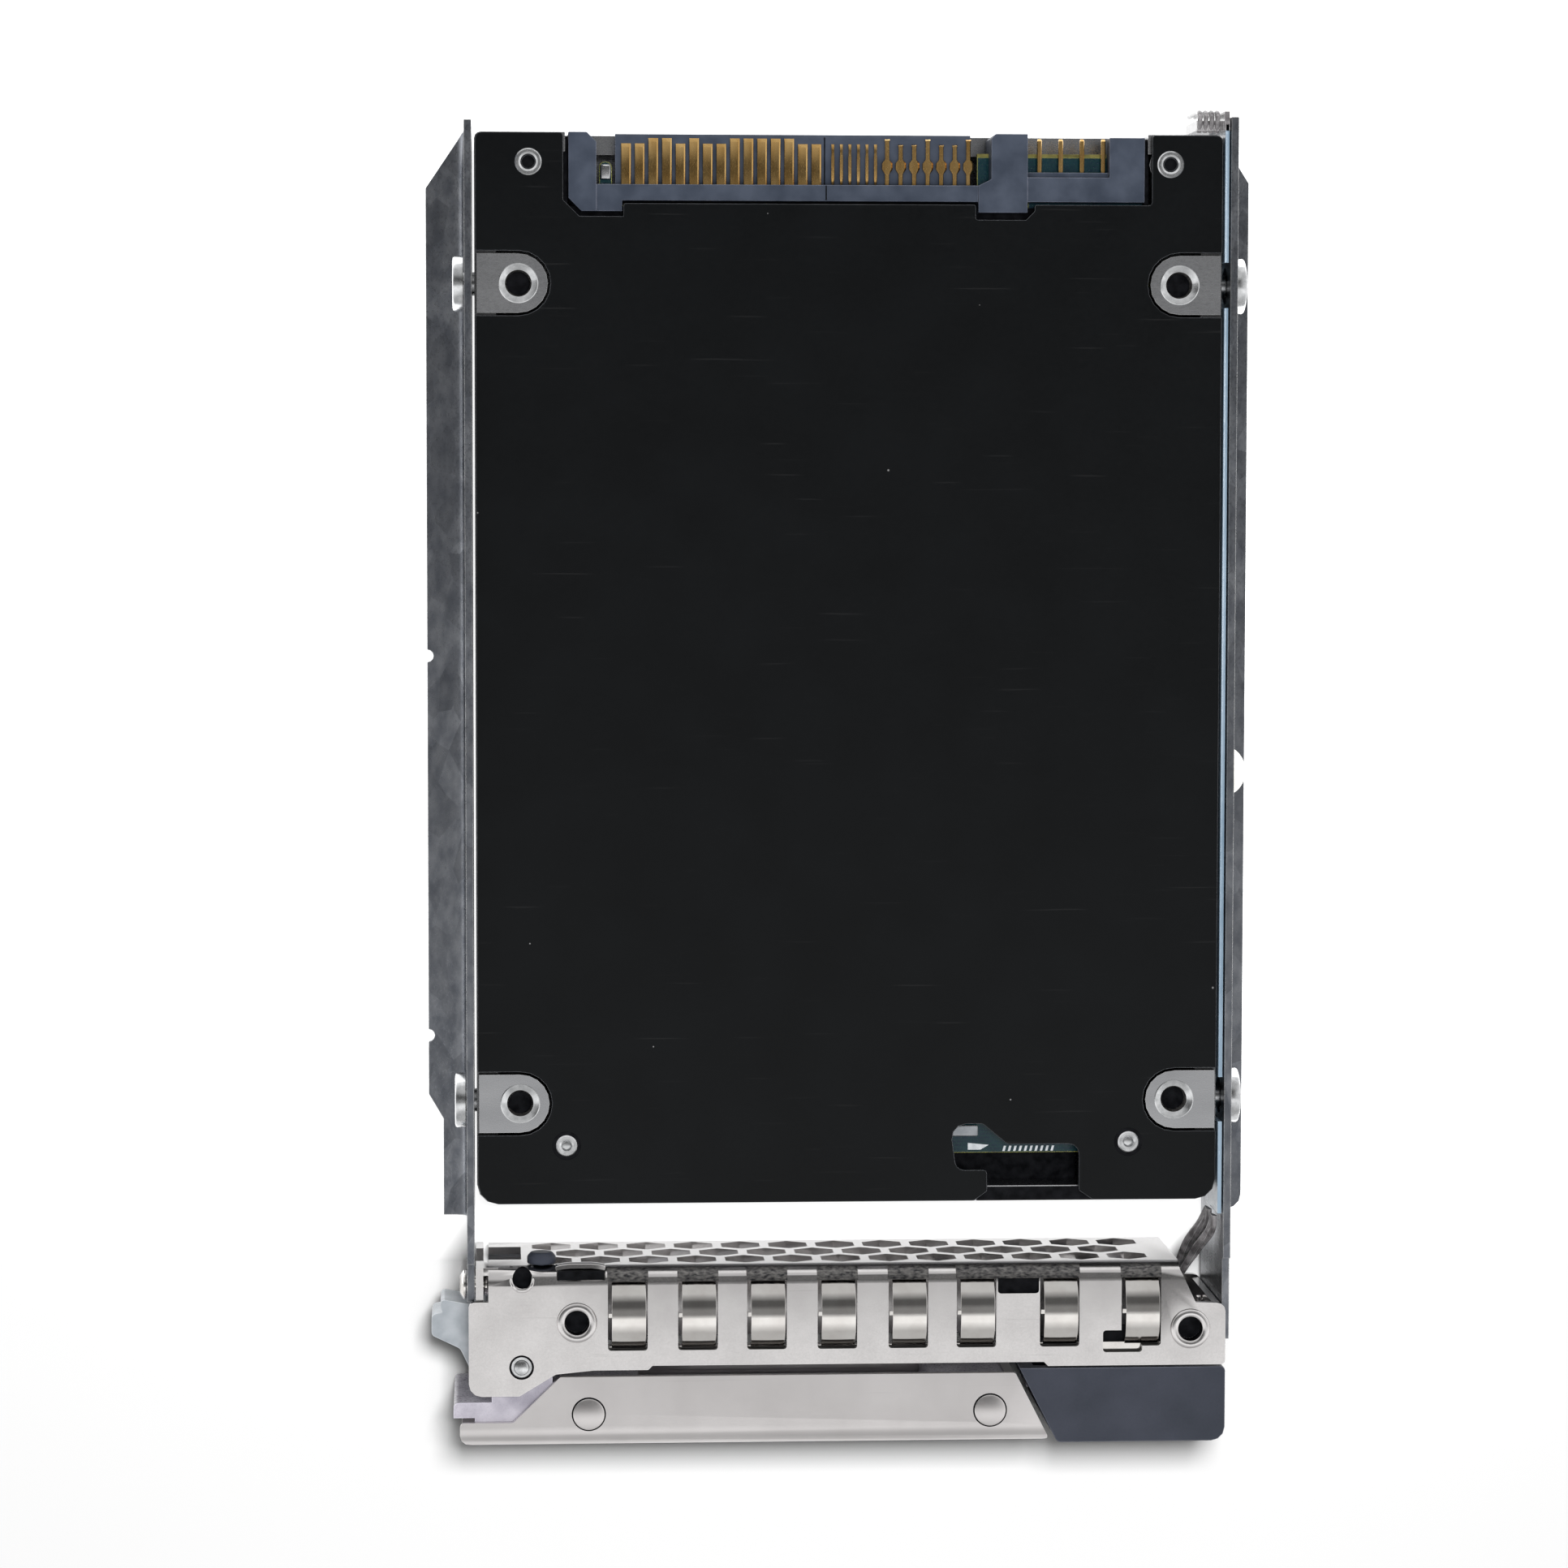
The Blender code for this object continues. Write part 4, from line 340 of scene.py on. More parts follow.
# Which finish each node of the frame wears, and how wide its softened edges are in millimetres.
wearing = {
    "coverCoating": (0.10, ["drive_cover"]),
    "machinedAluminium": (0.12, ["drive_housing"]),
    "connectorMoulding": (0.08, ["connector_housing"]),
    "contactGold": (0.03, ["rear_contacts"]),
    "galvanisedSteel": (0.10, ["left_rail", "right_rail"]),
    "castHook": (0.20, ["lever_hook"]),
    "brightNickel": (0.08, ["front_frame"]),
    "satinStainless": (0.09, ["lever_plate"]),
    "springSteel": (0.04, ["frame_rivet_1", "frame_rivet_2"]),
    "screwSteel": (0.06, ["board_screw_1", "board_screw_2", "board_lock"]),
    "bezelPlastic": (0.12, ["bezel", "bezel_back", "frame_peg"]),
    "leverPlastic": (0.15, ["lever_insert", "catch"]),
    "buttonPlastic": (0.2, ["release_button"]),
    "chipEpoxy": (0.05, ["controller_chip", "memory_chip"] + flashChips),
    "shrinkSleeve": (0.05, ["hold_up_capacitor_1", "hold_up_capacitor_2"]),
    "thermalPad": (0.1, ["thermal_pad", "debug_socket"]),
    "solderMask": (0.04, ["main_board"]),
    "pipeBlue": (0.06, ["light_pipe_strip"]),
}


def softenEdges(piece, width, sharpAngle=38):
    # weld the seams, round what is sharp, and keep the flats flat
    weld = piece.modifiers.new("Weld", "WELD")
    weld.merge_threshold = 0.000002
    flatten = piece.modifiers.new("Flat faces", "DECIMATE")
    flatten.decimate_type = "DISSOLVE"
    flatten.angle_limit = math.radians(0.4)
    edge = piece.modifiers.new("Soft edges", "BEVEL")
    edge.width = width * mm
    edge.segments = 2
    edge.limit_method = "ANGLE"
    edge.angle_limit = math.radians(sharpAngle)
    flats = piece.modifiers.new("Flats", "WEIGHTED_NORMAL")
    flats.keep_sharp = False
    flats.weight = 80
    for face in piece.data.polygons:
        face.use_smooth = True


for finish, (width, names) in wearing.items():
    for name in names:
        piece = nodes[name]
        piece.data.materials.clear()
        piece.data.materials.append(materials[finish])
        softenEdges(piece, width)
print("frame dressed:", len(nodes), "nodes")


# Mesh helpers: each returns points and faces in drive millimetres.
def merged(shapes):
    points = []
    faces = []
    for shapePoints, shapeFaces in shapes:
        start = len(points)
        points += shapePoints
        faces += [tuple(index + start for index in face) for face in shapeFaces]
    return points, faces


def loft(rings):
    # skin a row of closed rings and cap both ends
    count = len(rings[0])
    points = [point for ring in rings for point in ring]
    faces = []
    for row in range(len(rings) - 1):
        for index in range(count):
            following = (index + 1) % count
            low = row * count
            high = low + count
            faces.append((low + index, low + following, high + following, high + index))
    faces.append(tuple(reversed(range(count))))
    faces.append(tuple(range(len(points) - count, len(points))))
    return points, faces


def lathe(profile, place, axis="Z", flip=1, steps=32):
    # turn (radius, along) points about an axis; a few steps give a polygon instead of a circle
    points = []
    for radius, along in profile:
        for step in range(steps):
            turn = math.tau * (step + 0.5) / steps
            u = radius * math.cos(turn)
            v = radius * math.sin(turn) * flip
            offset = {"Z": (u, v, along), "X": (flip * along, u, v), "Y": (v, flip * along, u)}[axis]
            points.append(tuple(a + b for a, b in zip(place, offset)))
    faces = []
    for row in range(len(profile) - 1):
        for step in range(steps):
            following = (step + 1) % steps
            low = row * steps
            high = low + steps
            faces.append((low + step, low + following, high + following, high + step))
    return points, faces


def tube(path, radius, sides=10, flat=1.0):
    # a round or flattened rod along a path
    rings = []
    side = None
    for index, point in enumerate(path):
        before = Vector(path[max(index - 1, 0)])
        after = Vector(path[min(index + 1, len(path) - 1)])
        along = (after - before).normalized()
        if side is None:
            side = along.orthogonal().normalized()
        side = (side - along * side.dot(along)).normalized()
        rise = along.cross(side)
        ring = []
        for step in range(sides):
            turn = math.tau * step / sides
            across = side * radius * math.cos(turn)
            up = rise * radius * flat * math.sin(turn)
            ring.append(tuple(Vector(point) + across + up))
        rings.append(ring)
    return loft(rings)


def block(xRange, yRange, zRange):
    lowZ, highZ = zRange
    corners = [(xRange[0], yRange[0]), (xRange[1], yRange[0]), (xRange[1], yRange[1]), (xRange[0], yRange[1])]
    return loft([[(x, y, lowZ) for x, y in corners], [(x, y, highZ) for x, y in corners]])


def curveThrough(points, steps=6):
    # a smooth path that passes through every point
    places = [Vector(point) for point in points]
    places = [places[0] * 2 - places[1]] + places + [places[-1] * 2 - places[-2]]
    path = []
    for index in range(1, len(places) - 2):
        before, start, end, after = places[index - 1:index + 3]
        for step in range(steps):
            t = step / steps
            first = 2 * start + (end - before) * t
            second = (2 * before - 5 * start + 4 * end - after) * t * t
            third = (3 * start - before - 3 * end + after) * t ** 3
            path.append(tuple((first + second + third) / 2))
    path.append(tuple(places[-2]))
    return path


def addPiece(name, shape, finish, body="root", replaced=(), soft=0.0, sharp=34):
    points, faces = shape
    mesh = bpy.data.meshes.new(name)
    mesh.from_pydata([at(*point) for point in points], [], faces)
    work = bmesh.new()
    work.from_mesh(mesh)
    bmesh.ops.remove_doubles(work, verts=work.verts, dist=0.000001)
    bmesh.ops.recalc_face_normals(work, faces=work.faces)
    work.to_mesh(mesh)
    work.free()
    mesh.shade_smooth()
    mesh.set_sharp_from_angle(angle=math.radians(sharp))
    mesh.materials.append(materials[finish])
    piece = bpy.data.objects.new(name, mesh)
    bpy.context.scene.collection.objects.link(piece)
    if soft:
        edge = piece.modifiers.new("Soft edges", "BEVEL")
        edge.width = soft * mm
        edge.segments = 2
        edge.limit_method = "ANGLE"
        edge.angle_limit = math.radians(sharp)
    if body:
        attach(piece, body)
    if replaced:
        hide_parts(*replaced)
    return piece


# Connector: shaped contacts. longOnes and longSignals list the contacts that reach the tip.
contactLook = dict(
    wideCount=15, widePitch=1.27, wideHalf=0.46, tipSlope=0.34, longOnes=(2, 3, 5, 8, 9, 10, 11, 12),
    thinCount=6, thinPitch=0.8, thinHalf=0.16, signalCount=7, signalHalf=0.5, neckHalf=0.21,
    longSignals=(0, 3, 6), jumperCount=4, jumperHalf=0.22, shortSetback=0.5, rightFlank=0.30, leftFlank=0.08,
    flankDrop=0.12,
)


def contact(x, stations, lowZ, highZ):
    # stations run from the root to the tip: (y, half width, drop of the top)
    rings = []
    for y, half, drop in stations:
        top = max(highZ - drop, lowZ + 0.02)
        side = max(top - contactLook["flankDrop"], lowZ + 0.01)
        right = x + half * (1 - contactLook["rightFlank"])
        left = x - half * (1 - contactLook["leftFlank"])
        rings.append([
            (x - half, y, lowZ), (x + half, y, lowZ), (x + half, y, side),
            (right, y, top), (left, y, top), (x - half, y, side),
        ])
    return loft(rings)


def makeContacts():
    look = contactLook
    low, high = span("wide_contacts")
    root = low.y
    tip = high.y + 0.05
    first = (low.x + high.x) / 2 - look["widePitch"] * (look["wideCount"] - 1) / 2
    top = high.z + 0.06
    blades = []
    for index in range(look["wideCount"]):
        end = tip if index in look["longOnes"] else tip - look["shortSetback"]
        half = look["wideHalf"]
        stations = [(root, half, 0.0), (end - look["tipSlope"], half, 0.0), (end, half, 0.30)]
        blades.append(contact(first + index * look["widePitch"], stations, low.z, top))
    addPiece("wideContactBlades", merged(blades), "contactGold", replaced=["wide_contacts"],
             soft=0.03)

    low, high = span("narrow_contacts")
    first = (low.x + high.x) / 2 - look["thinPitch"] * (look["thinCount"] - 1) / 2
    pins = []
    for index in range(look["thinCount"]):
        half = look["thinHalf"]
        end = tip - look["shortSetback"]
        stations = [
            (root, 0.7 * half, 0.12), (root + 0.7, half, 0.0), (end - 1.2, half, 0.0),
            (end - 0.9, 0.8 * half, 0.0), (end - 0.25, 0.9 * half, 0.0), (end, half, 0.15),
        ]
        pins.append(contact(first + index * look["thinPitch"], stations, low.z, top))
    addPiece("narrowContactPins", merged(pins), "contactGold", replaced=["narrow_contacts"],
             soft=0.02)

    low, high = span("signal_contacts")
    first = (low.x + high.x) / 2 - look["widePitch"] * (look["signalCount"] - 1) / 2
    pins = []
    for index in range(look["signalCount"]):
        end = tip if index in look["longSignals"] else tip - look["shortSetback"]
        neck = look["neckHalf"]
        wide = look["signalHalf"]
        shoulder = tip - 1.9
        stations = [
            (root, neck, 0.05), (root + 1.05, neck, 0.0), (root + 1.5, wide, 0.0),
            (shoulder - 0.35, wide, 0.0), (shoulder, neck, 0.0), (end - 0.3, neck, 0.0),
            (end - 0.12, 1.2 * neck, 0.0), (end, 1.2 * neck, 0.2),
        ]
        pins.append(contact(first + index * look["widePitch"], stations, low.z, top))
    addPiece("signalContactPins", merged(pins), "contactGold", replaced=["signal_contacts"],
             soft=0.02)

    low, high = span("jumper_pins")
    pins = []
    half = look["jumperHalf"]
    for index in range(look["jumperCount"]):
        x = low.x + half + index * (high.x - low.x - 2 * half) / (look["jumperCount"] - 1)
        stations = [(low.y - 0.6, half, 0.0), (high.y - 0.2, half, 0.0), (high.y, half - 0.06, 0.2)]
        pins.append(contact(x, stations, low.z, high.z))
    addPiece("jumperPinRow", merged(pins), "contactGold", replaced=["jumper_pins"], soft=0.03)


# Connector: its seam and what lies round it. Each small part has its left, rear, width and depth.
connectorLook = dict(
    seam=(-2.28, -2.16), seamRear=-0.25, seamStep=-4.85, seamFront=-6.2,
    smallParts=((18.6, -4.0, 1.0, 0.5), (20.9, -4.0, 1.0, 0.5), (12.2, -6.0, 0.5, 0.9),
                (-22.6, -4.9, 0.5, 0.8)),
)


def makeConnectorDetail():
    look = connectorLook
    low, high = span("connector_housing")
    tongueTop = span("wide_contacts")[0].z - 0.1
    # the seam is drawn as black strips of painted shade
    seam = [
        block(look["seam"], (look["seamFront"], look["seamRear"]), (tongueTop - 0.05, tongueTop + 0.03)),
        block(look["seam"], (look["seamFront"], look["seamStep"]), (high.z - 0.3, high.z - 0.17)),
    ]
    addPiece("tongueSeamShade", merged(seam), "paintedShadeBlack")
    # black sheets of painted shade in front of the connector, where it meets the cover, and down both its
    # sides
    boardTop = span("main_board")[1].z
    beside = (boardTop - 1.0, boardTop + 1.2)
    gaps = [
        block((low.x - 0.4, high.x + 0.5), (-8.4, -6.75), (boardTop + 0.02, boardTop + 0.06)),
        block((high.x + 0.08, high.x + 0.5), (-6.6, -0.4), beside),
        block((low.x - 0.42, low.x - 0.06), (-7.2, -0.4), beside),
    ]
    addPiece("connectorShadeSheets", merged(gaps), "paintedShadeBlack")
    # the board's rear margin, seen beside the tongue and behind the jumper pins
    bays = (span("signal_contacts")[1].x + 0.4, high.x - 0.3)
    apron = block(bays, (-6.6, -2.0), (boardTop - 1.1, boardTop - 0.15))
    addPiece("boardRearMargin", apron, "solderMask", soft=0.03)
    margin = block(bays, (-2.0, -1.7), (boardTop - 1.1, boardTop - 0.2))
    addPiece("boardRearEdge", margin, "fibreglassEdge", soft=0.03)
    parts = []
    for x, y, wide, deep in look["smallParts"]:
        parts.append(block((x, x + wide), (y - deep, y), (boardTop, boardTop + 0.35)))
    addPiece("boardSmallParts", merged(parts), "chipEpoxy", soft=0.04)


# Cover screws: hollow heads at the rear, dimpled heads at the front.
screwLook = dict(rearOuter=1.25, rearBore=0.72, frontOuter=1.0, frontBore=0.5, shadeRingRadius=1.35, rise=0.16)


def makeCoverScrews():
    look = screwLook
    for number in range(1, 5):
        x, y = middleOf(f"cover_screw_{number}")[:2]
        top = coverTop + look["rise"]
        rear = number < 3
        outer = look["rearOuter"] if rear else look["frontOuter"]
        bore = look["rearBore"] if rear else look["frontBore"]
        profile = [
            (outer, coverTop + 0.01), (outer, top - 0.10), (outer - 0.10, top), (bore + 0.18, top),
            (bore, top - 0.14), (bore, top - 1.3), (0.0, top - 1.3),
        ]
        place = (x, y, 0.0)
        addPiece(f"coverScrewHead{number}", lathe(profile, place), "screwSteel",
                 replaced=[f"cover_screw_{number}"])
        if rear:
            # a black disc of painted shade down the hollow head
            floor = lathe([(bore - 0.02, top - 0.55), (0.0, top - 0.55)], place)
            addPiece(f"coverScrewBoreShade{number}", floor, "paintedShadeBlack")
            continue
        # a thin black ring of painted shade round each front head
        profile = [
            (look["shadeRingRadius"], coverTop + 0.005), (look["shadeRingRadius"] - 0.05, coverTop + 0.05),
            (outer + 0.02, coverTop + 0.05),
        ]
        shadeRing = lathe(profile, place)
        addPiece(f"coverScrewShadeRing{number}", shadeRing, "paintedShadeBlack")
        profile = [(bore + 0.02, top - 0.16), (0.8 * bore, top - 0.40), (0.0, top - 0.34)]
        dimple = lathe(profile, place, steps=6)
        addPiece(f"coverScrewDrive{number}", dimple, "screwSteel", sharp=20)


# Mounting pads: a thread darkened as painted shade, the chamfer drawn in a brighter metal than the pad as a
# painted highlight, and a black disc of painted shade at the bottom of each hole.
padLook = dict(bore=1.26, inner=1.10, pitch=0.35, turns=6, insetX=4.065, fromRear=14.0, fromFront=9.6)


def makePadThreads():
    look = padLook
    low, high = span("drive_housing")
    mouth = coverTop - 0.1
    number = 0
    for y in (-look["fromRear"], low.y + look["fromFront"]):
        for side in (-1, 1):
            number += 1
            place = (side * (high.x - look["insetX"]), y, 0.0)
            profile = [(look["bore"], mouth - 0.35)]
            for turn in range(look["turns"]):
                z = mouth - 0.4 - turn * look["pitch"]
                profile += [(look["inner"], z - look["pitch"] / 2), (look["bore"] - 0.01, z - look["pitch"])]
            addPiece(f"padThread{number}", lathe(profile, place), "paintedShadeSteel")
            # the chamfer is drawn in a brighter metal than the pad, a painted highlight
            profile = [(1.86, mouth + 0.02), (1.78, mouth + 0.05), (1.70, mouth + 0.01), (1.24, mouth - 0.31)]
            addPiece(f"padChamferHighlight{number}", lathe(profile, place), "screwSteel")
            # a black disc of painted shade at the bottom of the hole
            shadeDisc = lathe([(look["bore"] - 0.02, mouth - 1.6), (0.0, mouth - 1.65)], place)
            addPiece(f"padHoleShade{number}", shadeDisc, "paintedShadeBlack")


# Debug socket, seen through the cover's window: slanted pads, a wide pad and black sheets of painted shade
# under and beside it.
debugLook = dict(
    firstPad=14.9, padCount=10, padPitch=0.51, padWide=0.22, padLong=0.5, padFront=0.15, slant=0.14,
    widePad=((11.6, 0.3), (12.8, 0.3), (13.6, 0.75), (11.6, 0.95)),
)


def makeDebugDetail():
    look = debugLook
    board = span("main_board")
    edge = board[0].y
    top = board[1].z
    pads = []
    for index in range(look["padCount"]):
        left = look["firstPad"] + index * look["padPitch"]
        right = left + look["padWide"]
        front = edge + look["padFront"]
        back = front + look["padLong"]
        ring = [(left, front), (right, front), (right + look["slant"], back), (left + look["slant"], back)]
        pads.append(loft([[(x, y, z) for x, y in ring] for z in (top, top + 0.04)]))
    pads.append(loft([[(x, edge + y, z) for x, y in look["widePad"]] for z in (top, top + 0.03)]))
    addPiece("debugPads", merged(pads), "padTin")
    shadeSheets = [
        block((12.2, 23.4), (edge - 4.22, edge - 2.9), (coverTop - 1.6, coverTop - 0.75)),
        block((9.0, 22.1), (edge - 2.9, edge - 0.2), (board[0].z - 1.2, board[0].z - 0.9)),
        block((9.0, 10.0), (edge - 1.4, edge + 0.3), (board[0].z - 0.9, coverTop - 0.8)),
    ]
    addPiece("debugWindowShade", merged(shadeSheets), "paintedShadeBlack", soft=0.05)


# Front frame: spring fingers, which arch up through its windows.
fingerLook = dict(
    lefts=(-22.7, -16.1, -9.6, -2.95, 3.75, 10.2, 18.1, 25.85), window=3.75, wide=3.2, sheet=0.2, rise=0.55,
    drop=1.02, rearInset=1.05, frontInset=7.75, steps=24, crown=0.04, crest=0.44, arch=1.5, lean=0.35,
    nibWide=0.32, nibLong=0.42,
)


def makeFingers():
    look = fingerLook
    low, high = span("emi_strip")
    under = frameTop - look["drop"]
    rear = wallY - look["rearInset"]
    front = wallY - look["frontInset"]
    shortest = math.sqrt(look["arch"] - 1)
    shapes = []
    for left in look["lefts"]:
        middle = left + look["window"] / 2 + 0.1
        half = look["wide"] / 2
        rings = []
        for step in range(look["steps"] + 1):
            share = step / look["steps"]
            y = front + (rear - front) * share
            run = 1.0 - look["crest"] if share > look["crest"] else look["crest"]
            reach = (share - look["crest"]) / run
            arch = (math.sqrt(look["arch"] - reach * reach) - shortest) / (math.sqrt(look["arch"]) - shortest)
            z = under + (frameTop + look["rise"] - under) * arch
            slope = look["lean"] * math.cos(math.pi * share)
            lean = -slope * look["sheet"]
            ring = []
            for u in (-1.0, -0.5, 0.0, 0.5, 1.0):
                crown = look["crown"] * (1 - u * u)
                ring.append((middle + u * half, y + lean, z + look["sheet"] / 2 + crown))
            for u in (1.0, 0.0, -1.0):
                ring.append((middle + u * half, y - lean, z - look["sheet"] / 2))
            rings.append(ring)
        shapes.append(loft(rings))
        nibY = (front + rear) / 2 - 0.3
        nibZ = frameTop + look["rise"] - 0.35
        nibX = middle - half
        nib = (nibX - look["nibWide"], nibX + 0.1)
        shapes.append(block(nib, (nibY, nibY + look["nibLong"]), (nibZ, nibZ + 0.25)))
    shapes.append(block((low.x, high.x), (front - 1.3, front + 0.1), (under - 0.1, under + 0.1)))
    addPiece("springFingers", merged(shapes), "springSteel", replaced=["emi_strip"],
             soft=0.03, sharp=50)


# Finger roots: patches of painted shade in the frame's bend, each behind a first to a last finger.
rootLook = dict(
    lift=0.04, thick=0.12, start=12, end=62, overlap=0.05,
    patches=((0, 0), (1, 1), (2, 2), (3, 3), (4, 4), (5, 6), (7, 7)),
)


def bendPatch(left, right):
    # a thin curved patch that follows the frame's rounded rear corner
    look = rootLook
    outer = bendRadius + look["lift"]
    inner = outer - look["thick"]
    centreY = wallY - bendRadius
    centreZ = frameTop - bendRadius
    rings = []
    for step in range(9):
        turn = math.radians(look["start"] + (look["end"] - look["start"]) * step / 8)
        ring = []
        for x, radius in ((left, outer), (right, outer), (right, inner), (left, inner)):
            ring.append((x, centreY + radius * math.sin(turn), centreZ + radius * math.cos(turn)))
        rings.append(ring)
    return loft(rings)


def makeFingerRoots():
    lefts = fingerLook["lefts"]
    overlap = rootLook["overlap"]
    roots = []
    for first, last in rootLook["patches"]:
        roots.append(bendPatch(lefts[first] - overlap, lefts[last] + fingerLook["window"] + overlap))
    addPiece("fingerRootShade", merged(roots), "paintedShadeSteel")
    # black plates of painted shade under the frame's notch, its foot opening and the bite in its rear corner
    notch = block((14.0, 18.2), (wallY - 2.9, wallY - 0.9), (frameTop - 1.0, frameTop - 0.85))
    foot = block((24.0, 29.8), (wallY - 8.7, wallY - 6.2), (frameTop - 1.9, frameTop - 1.75))
    bite = block((-31.9, -29.6), (wallY - 2.1, wallY - 0.2), (frameTop - 1.5, frameTop - 1.35))
    addPiece("notchShadowPlates", merged([notch, foot, bite]), "paintedShadeBlack")


# Bite lip: a bead round the bite in the frame's rear edge. Half of its outline is mirrored about the crest.
biteLook = dict(
    middle=-30.75, wire=0.17, half=((-1.0, -0.1, -1.5), (-1.0, -1.3, -0.1), (-0.55, -2.0, 0.02)),
    crest=(0.0, -2.15, 0.03),
)


def makeBiteLip():
    look = biteLook
    mirrored = [(-x, y, z) for x, y, z in reversed(look["half"])]
    path = []
    for x, y, z in [*look["half"], look["crest"], *mirrored]:
        path.append((look["middle"] + x, wallY + y, frameTop + z))
    addPiece("biteLip", tube(curveThrough(path), look["wire"]), "brightNickel")


# Raised tab: the little lanced bridge at the frame's rear edge. Sections are (share of width, lift, back).
tabLook = dict(
    left=-27.6, right=-22.9,
    sections=((0.0, 0.0, 0.0), (0.14, 0.55, 0.35), (0.3, 0.8, 0.55),
              (0.7, 0.8, 0.55), (0.86, 0.55, 0.35), (1.0, 0.0, 0.0)),
)


def makeRaisedTab():
    left = tabLook["left"]
    right = tabLook["right"]
    rings = []
    for share, lift, back in tabLook["sections"]:
        x = left + (right - left) * share
        y = wallY + 0.1 + 0.45 * back
        z = frameTop - 0.95 + 0.25 * lift
        rings.append([
            (x, y - 0.55, z + 0.10), (x, y - 0.1, z), (x, y, z - 0.3),
            (x, y - 0.02, z - 0.75), (x, y - 0.2, z - 0.75), (x, y - 0.55, z - 0.12),
        ])
    addPiece("raisedTab", loft(rings), "brightNickel", soft=0.05)
    # a black block of painted shade under the bridge
    tabShade = block((left + 0.2, right - 0.1), (wallY - 1.2, wallY - 0.35), (frameTop - 0.75, frameTop - 0.3))
    addPiece("raisedTabShade", tabShade, "paintedShadeBlack")


# Eyelets: a bore with its rim rolled over.
eyeletLook = dict(bore=1.12, rimMiddle=1.5, rimRise=0.24)


def makeEyelets():
    look = eyeletLook
    rim = look["rimMiddle"] - look["bore"]
    for number in (1, 2):
        x, y = middleOf(f"eyelet_{number}")[:2]
        place = (x, y, 0.0)
        profile = [(look["bore"], frameTop - 1.5), (look["bore"], frameTop + 0.1)]
        for step in range(9):
            turn = math.pi * step / 8
            along = frameTop + 0.1 + look["rimRise"] * math.sin(turn)
            profile.append((look["rimMiddle"] - rim * math.cos(turn), along))
        profile += [(look["rimMiddle"] + rim, frameTop + 0.01), (look["rimMiddle"] + 0.05, frameTop - 0.05)]
        ring = lathe(profile, place, steps=40)
        addPiece(f"rolledEyelet{number}", ring, "brightNickel", replaced=[f"eyelet_{number}"])
        # a black disc of painted shade down each bore
        shadeDisc = lathe([(look["bore"] - 0.01, frameTop - 1.2), (0.0, frameTop - 1.2)], place)
        addPiece(f"eyeletBoreShade{number}", shadeDisc, "paintedShadeBlack")


# Pivot pin: a riveted head with a groove round its raised middle, and a black ring of painted shade for the
# groove outside it.
def makePivotHead():
    x, y = middleOf("pivot_pin")[:2]
    place = (x, y, 0.0)
    profile = [
        (0.98, 0.02), (1.0, 0.2), (1.0, frameTop - 0.02), (0.92, frameTop + 0.06), (0.74, frameTop + 0.06),
        (0.70, frameTop + 0.02), (0.66, frameTop + 0.14), (0.4, frameTop + 0.24), (0.0, frameTop + 0.26),
    ]
    addPiece("pivotPinTurned", lathe(profile, place, steps=36), "screwSteel",
             replaced=["pivot_pin"])
    profile = [(1.16, frameTop + 0.005), (1.1, frameTop + 0.03), (1.01, frameTop + 0.005)]
    addPiece("pivotPinGrooveShade", lathe(profile, place, steps=36), "paintedShadeBlack")


# Lever: flush rivets with a black ring of painted shade for the groove round them.
def makeLeverRivets():
    for number in (1, 2):
        low, high = span(f"lever_rivet_{number}")
        x, y = middleOf(f"lever_rivet_{number}")[:2]
        place = (x, y, 0.0)
        radius = (high.x - low.x) / 2
        profile = [
            (0.0, frameTop - 4.0), (1.0, frameTop - 4.0), (1.0, frameTop - 0.1), (radius - 0.1, frameTop),
            (radius - 0.08, frameTop + 0.10), (radius - 0.2, frameTop + 0.17), (0.0, frameTop + 0.19),
        ]
        addPiece(f"flushRivet{number}", lathe(profile, place, steps=40), "satinStainless",
                 body="lever", replaced=[f"lever_rivet_{number}"])
        profile = [
            (radius + 0.06, frameTop + 0.004), (radius + 0.02, frameTop + 0.03),
            (radius - 0.1, frameTop + 0.004),
        ]
        grooveShade = lathe(profile, place, steps=40)
        addPiece(f"rivetGrooveShade{number}", grooveShade, "paintedShadeBlack", body="lever")


# Rail screws: dished heads with a six-pointed star recess.
railScrewLook = dict(head=2.6, headThick=1.0, shank=1.1, starOuter=1.2, starInner=0.8, starPoints=6)


def makeRailScrews():
    look = railScrewLook
    thick = look["headThick"]
    for number in range(1, 5):
        low, high = span(f"rail_screw_{number}")
        y, z = middleOf(f"rail_screw_{number}")[1:]
        side = -1 if high.x < 0 else 1
        face = low.x if side < 0 else high.x
        neck = face - side * thick
        inner = high.x if side < 0 else low.x
        length = abs(neck - inner)
        profile = [
            (0.0, -length), (look["shank"], -length + 0.2), (look["shank"], 0.0), (look["head"], 0.02),
            (look["head"], thick - 0.22), (look["head"] - 0.1, thick - 0.07), (look["head"] - 0.3, thick),
            (1.25, thick), (1.1, thick / 2), (0.0, thick / 2 - 0.05),
        ]
        addPiece(f"railScrewTurned{number}", lathe(profile, (neck, y, z), "X", side, steps=36), "screwSteel",
                 replaced=[f"rail_screw_{number}"])
        # the star recess is a black sheet of painted shade
        points = []
        for step in range(2 * look["starPoints"]):
            reach = look["starOuter"] if step % 2 else look["starInner"]
            turn = math.pi * step / look["starPoints"]
            points.append((y + reach * math.cos(turn), z + reach * math.sin(turn)))
        rings = [[(neck + side * depth, u, v) for u, v in points] for depth in (thick / 2, thick / 2 + 0.06)]
        addPiece(f"railScrewStarShade{number}", loft(rings), "paintedShadeBlack")


